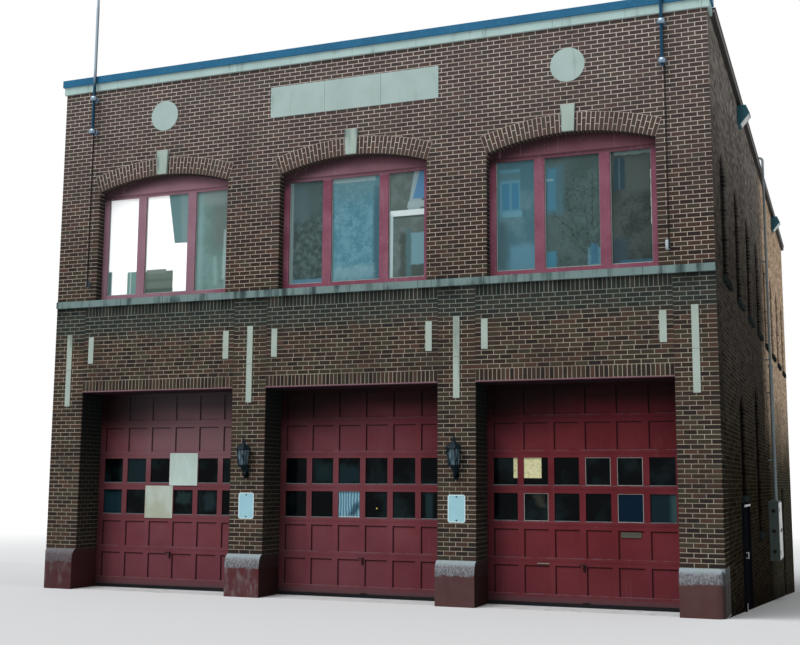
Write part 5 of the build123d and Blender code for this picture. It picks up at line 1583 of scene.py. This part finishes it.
# foot and radius there, top and radius there, and how many sides where not six
DRUMS = (
    (-0.045, 0.026, 0.0, 0.074), (0.0, 0.074, 0.020, 0.100), (0.020, 0.108, 0.026, 0.108),
    (0.288, 0.148, 0.306, 0.152), (0.306, 0.150, 0.318, 0.142), (0.318, 0.142, 0.350, 0.110),
    (0.350, 0.110, 0.388, 0.062), (0.388, 0.062, 0.426, 0.026), (0.476, 0.010, 0.551, 0.003, 8),
)
BEADS = ((0.438, 0.030), (0.470, 0.021))
FLAT = math.cos(math.radians(30))
BAR_FOOT, BAR_TOP = GLASS_FOOT_RADIUS + 0.002, GLASS_TOP_RADIUS + 0.002
# turn, lower radius and level, upper radius and level, thickness
RODS = (
    (0, BAR_FOOT, GLASS_FOOT, BAR_TOP, GLASS_TOP, 0.0055),
    (30, BAR_FOOT * FLAT, GLASS_FOOT, BAR_TOP * FLAT, GLASS_TOP, 0.003),
    (0, 0.150, 0.306, 0.112, 0.350, 0.005),
)


def drum(mesh, x, low, radius_low, high, radius_high, sides=6, caps=True):
    """A tapered drum on a lantern's axis, between two levels."""
    place = Matrix.Translation((x, -LANTERN_OUT, TRAY_FOOT + (low + high) / 2))
    bmesh.ops.create_cone(mesh, cap_ends=caps, segments=sides, radius1=radius_low, radius2=radius_high,
                          depth=high - low, matrix=place @ Matrix.Rotation(math.pi / 6, 4, "Z"))


def rod(mesh, start, end, radius):
    """A round bar between two points."""
    run = end - start
    place = Matrix.Translation((start + end) / 2) @ run.to_track_quat("Z", "Y").to_matrix().to_4x4()
    bmesh.ops.create_cone(mesh, cap_ends=True, segments=8, radius1=radius, radius2=radius,
                          depth=run.length, matrix=place)


iron = bmesh.new()
iron.from_mesh(nodes["lantern_frames"].data)
above = [vertex for vertex in iron.verts if vertex.co.z > TRAY_FOOT + 0.0005]
bmesh.ops.delete(iron, geom=above, context="VERTS")
sheets = bmesh.new()
for x in (-plate_x, plate_x):
    for stage in DRUMS:
        drum(iron, x, *stage)
    for low, high, half in WALL_PLATE_STEPS:
        middle = Matrix.Translation((x, -WALL_PLATE / 2, TRAY_FOOT + (low + high) / 2))
        size = Matrix.Diagonal((2 * half, WALL_PLATE, high - low, 1.0))
        bmesh.ops.create_cube(iron, size=1.0, matrix=middle @ size)
    for level, radius in BEADS:
        place = Matrix.Translation((x, -LANTERN_OUT, TRAY_FOOT + level))
        bmesh.ops.create_uvsphere(iron, u_segments=12, v_segments=8, radius=radius, matrix=place)
    for turned, foot_radius, foot, top_radius, top, thickness in RODS:
        for index in range(6):
            angle = math.radians(60 * index + turned)
            outward = Vector((math.cos(angle), math.sin(angle), 0))
            axis_foot = Vector((x, -LANTERN_OUT, TRAY_FOOT + foot))
            axis_top = Vector((x, -LANTERN_OUT, TRAY_FOOT + top))
            rod(iron, axis_foot + outward * foot_radius, axis_top + outward * top_radius, thickness)
    for inset in (0.0, GLASS_SHEET):
        drum(sheets, x, GLASS_FOOT, GLASS_FOOT_RADIUS - inset, GLASS_TOP, GLASS_TOP_RADIUS - inset,
             caps=False)
lantern_iron = nodes["lantern_frames"].material_slots[0].material
dressed_lanterns = piece_from("lantern_ironwork", iron, lantern_iron)
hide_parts("lantern_frames")
lantern_sheets = piece_from("lantern_sheets", sheets, reeded.material)
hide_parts("lantern_glass")

# %% [markdown]
# A halyard is a loop, so a second line runs down beside the first one on either
# pole, from the lower clamp to the cleat.

# %% Returning lines
LINE_APART = 0.011
LINE_RADIUS = 0.004
halyard_low, halyard_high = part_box("halyards")
line_y = (halyard_low.y + halyard_high.y) / 2
line_foot = halyard_low.z + 0.02
line_top = FLANGE_LEVELS[0] - 0.06
lines = bmesh.new()
for middle_x in (halyard_low.x + LINE_RADIUS, halyard_high.x - LINE_RADIUS):
    for x in (middle_x - LINE_APART, middle_x + LINE_APART):
        rod_middle = Matrix.Translation((x, line_y, (line_foot + line_top) / 2))
        bmesh.ops.create_cone(lines, cap_ends=True, segments=6, radius1=LINE_RADIUS,
                              radius2=LINE_RADIUS, depth=line_top - line_foot, matrix=rod_middle)
piece_from("returning_lines", lines, rope.material)

# %% [markdown]
# On the side wall the service door has a pull handle, a pale weather strip over
# its head and hinges. The meter cabinet has three knobs on its end towards the
# street, and hinges and a latch on each door.

# %% Service door and cabinet fittings
door_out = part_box("side_doors")[1].x - right
strips = Fitting(right_plane)
strips.block(SERVICE_DOOR, SERVICE_HEAD - 0.055, 0.60, 0.02, door_out - 0.002, door_out + 0.012, 0.004)
handle = SERVICE_DOOR - 0.5375
strips.block(handle, street + 0.76, 0.0125, 0.06, door_out + 0.03, door_out + 0.05, 0.006)
for z in (street + 0.715, street + 0.805):
    strips.head(handle, z, door_out - 0.002, door_out + 0.032, 0.008, 10)
strips.block(SERVICE_DOOR - 0.605, street - 0.14, 0.015, 0.08, door_out - 0.002, door_out + 0.010, 0.004)
strip_paint = painted_metal("pale_strip_paint", (0.58, 0.60, 0.60), 0.5, (0.2, 0.2, 0.2), 0.3)
piece_from("service_door_strips", strips.mesh, strip_paint)

cabinet_low, cabinet_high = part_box("meter_cabinet")
cabinet = (cabinet_low + cabinet_high) / 2
knobs = Fitting(plane_of((0, cabinet_low.y, 0), (1, 0, 0), (0, -1, 0)))
for share in (0.16, 0.5, 0.84):
    level = cabinet_low.z + share * (cabinet_high.z - cabinet_low.z)
    knobs.head(cabinet.x, level, -0.002, 0.016, 0.042, 16, 0.85)
    knobs.head(cabinet.x, level, 0.016, 0.040, 0.026, 16, 0.8)
piece_from("cabinet_knobs", knobs.mesh, dark_iron)

cabinet_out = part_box("cabinet_doors")[1].x - right
hinge_reach = (cabinet_high.y - cabinet_low.y) / 2 - 0.05
latches = Fitting(right_plane)
for side in (-1, 1):
    latches.block(cabinet.y + side * 0.05, cabinet.z, 0.012, 0.05, cabinet_out - 0.001,
                  cabinet_out + 0.012, 0.004)
    for z in (cabinet_low.z + 0.2, cabinet_high.z - 0.2):
        latches.block(cabinet.y + side * hinge_reach, z, 0.014, 0.05, cabinet_out - 0.001,
                      cabinet_out + 0.009, 0.004)
piece_from("cabinet_latches", latches.mesh, dark_iron)

# %% [markdown]
# ## Floor
# The street in front is level and the ground beside the building falls to its
# back, as the walls' feet show. The floor follows that, pale and plain, so the
# doors stand at street level and no wall shows its foundation in front.

# %% Floor
FLOOR_REACH = 120.0
FLOOR_DROP = 0.001
floor_mesh = bmesh.new()
bmesh.ops.create_grid(floor_mesh, x_segments=1, y_segments=3, size=1.0)
floor_lines = ((-FLOOR_REACH, street), (0.0, street), (depth, 0.0), (FLOOR_REACH, 0.0))
for vertex in floor_mesh.verts:
    y, level = floor_lines[round((vertex.co.y + 1) * 1.5)]
    vertex.co = (vertex.co.x * FLOOR_REACH, y, level - FLOOR_DROP)
floor_data = bpy.data.meshes.new("floor")
floor_mesh.to_mesh(floor_data)
floor_mesh.free()
floor_finish = Finish("floor")
inward = floor_finish.y - depth / 2
away = (floor_finish.x * floor_finish.x + inward * inward).root()
floor_colour = floor_finish.mix(away.ramp(22.0, 70.0), (0.62, 0.63, 0.64), (1.0, 1.0, 1.0))
floor_data.materials.append(floor_finish.surface(floor_colour, 0.9))
floor = put_in_scene("floor", floor_data)
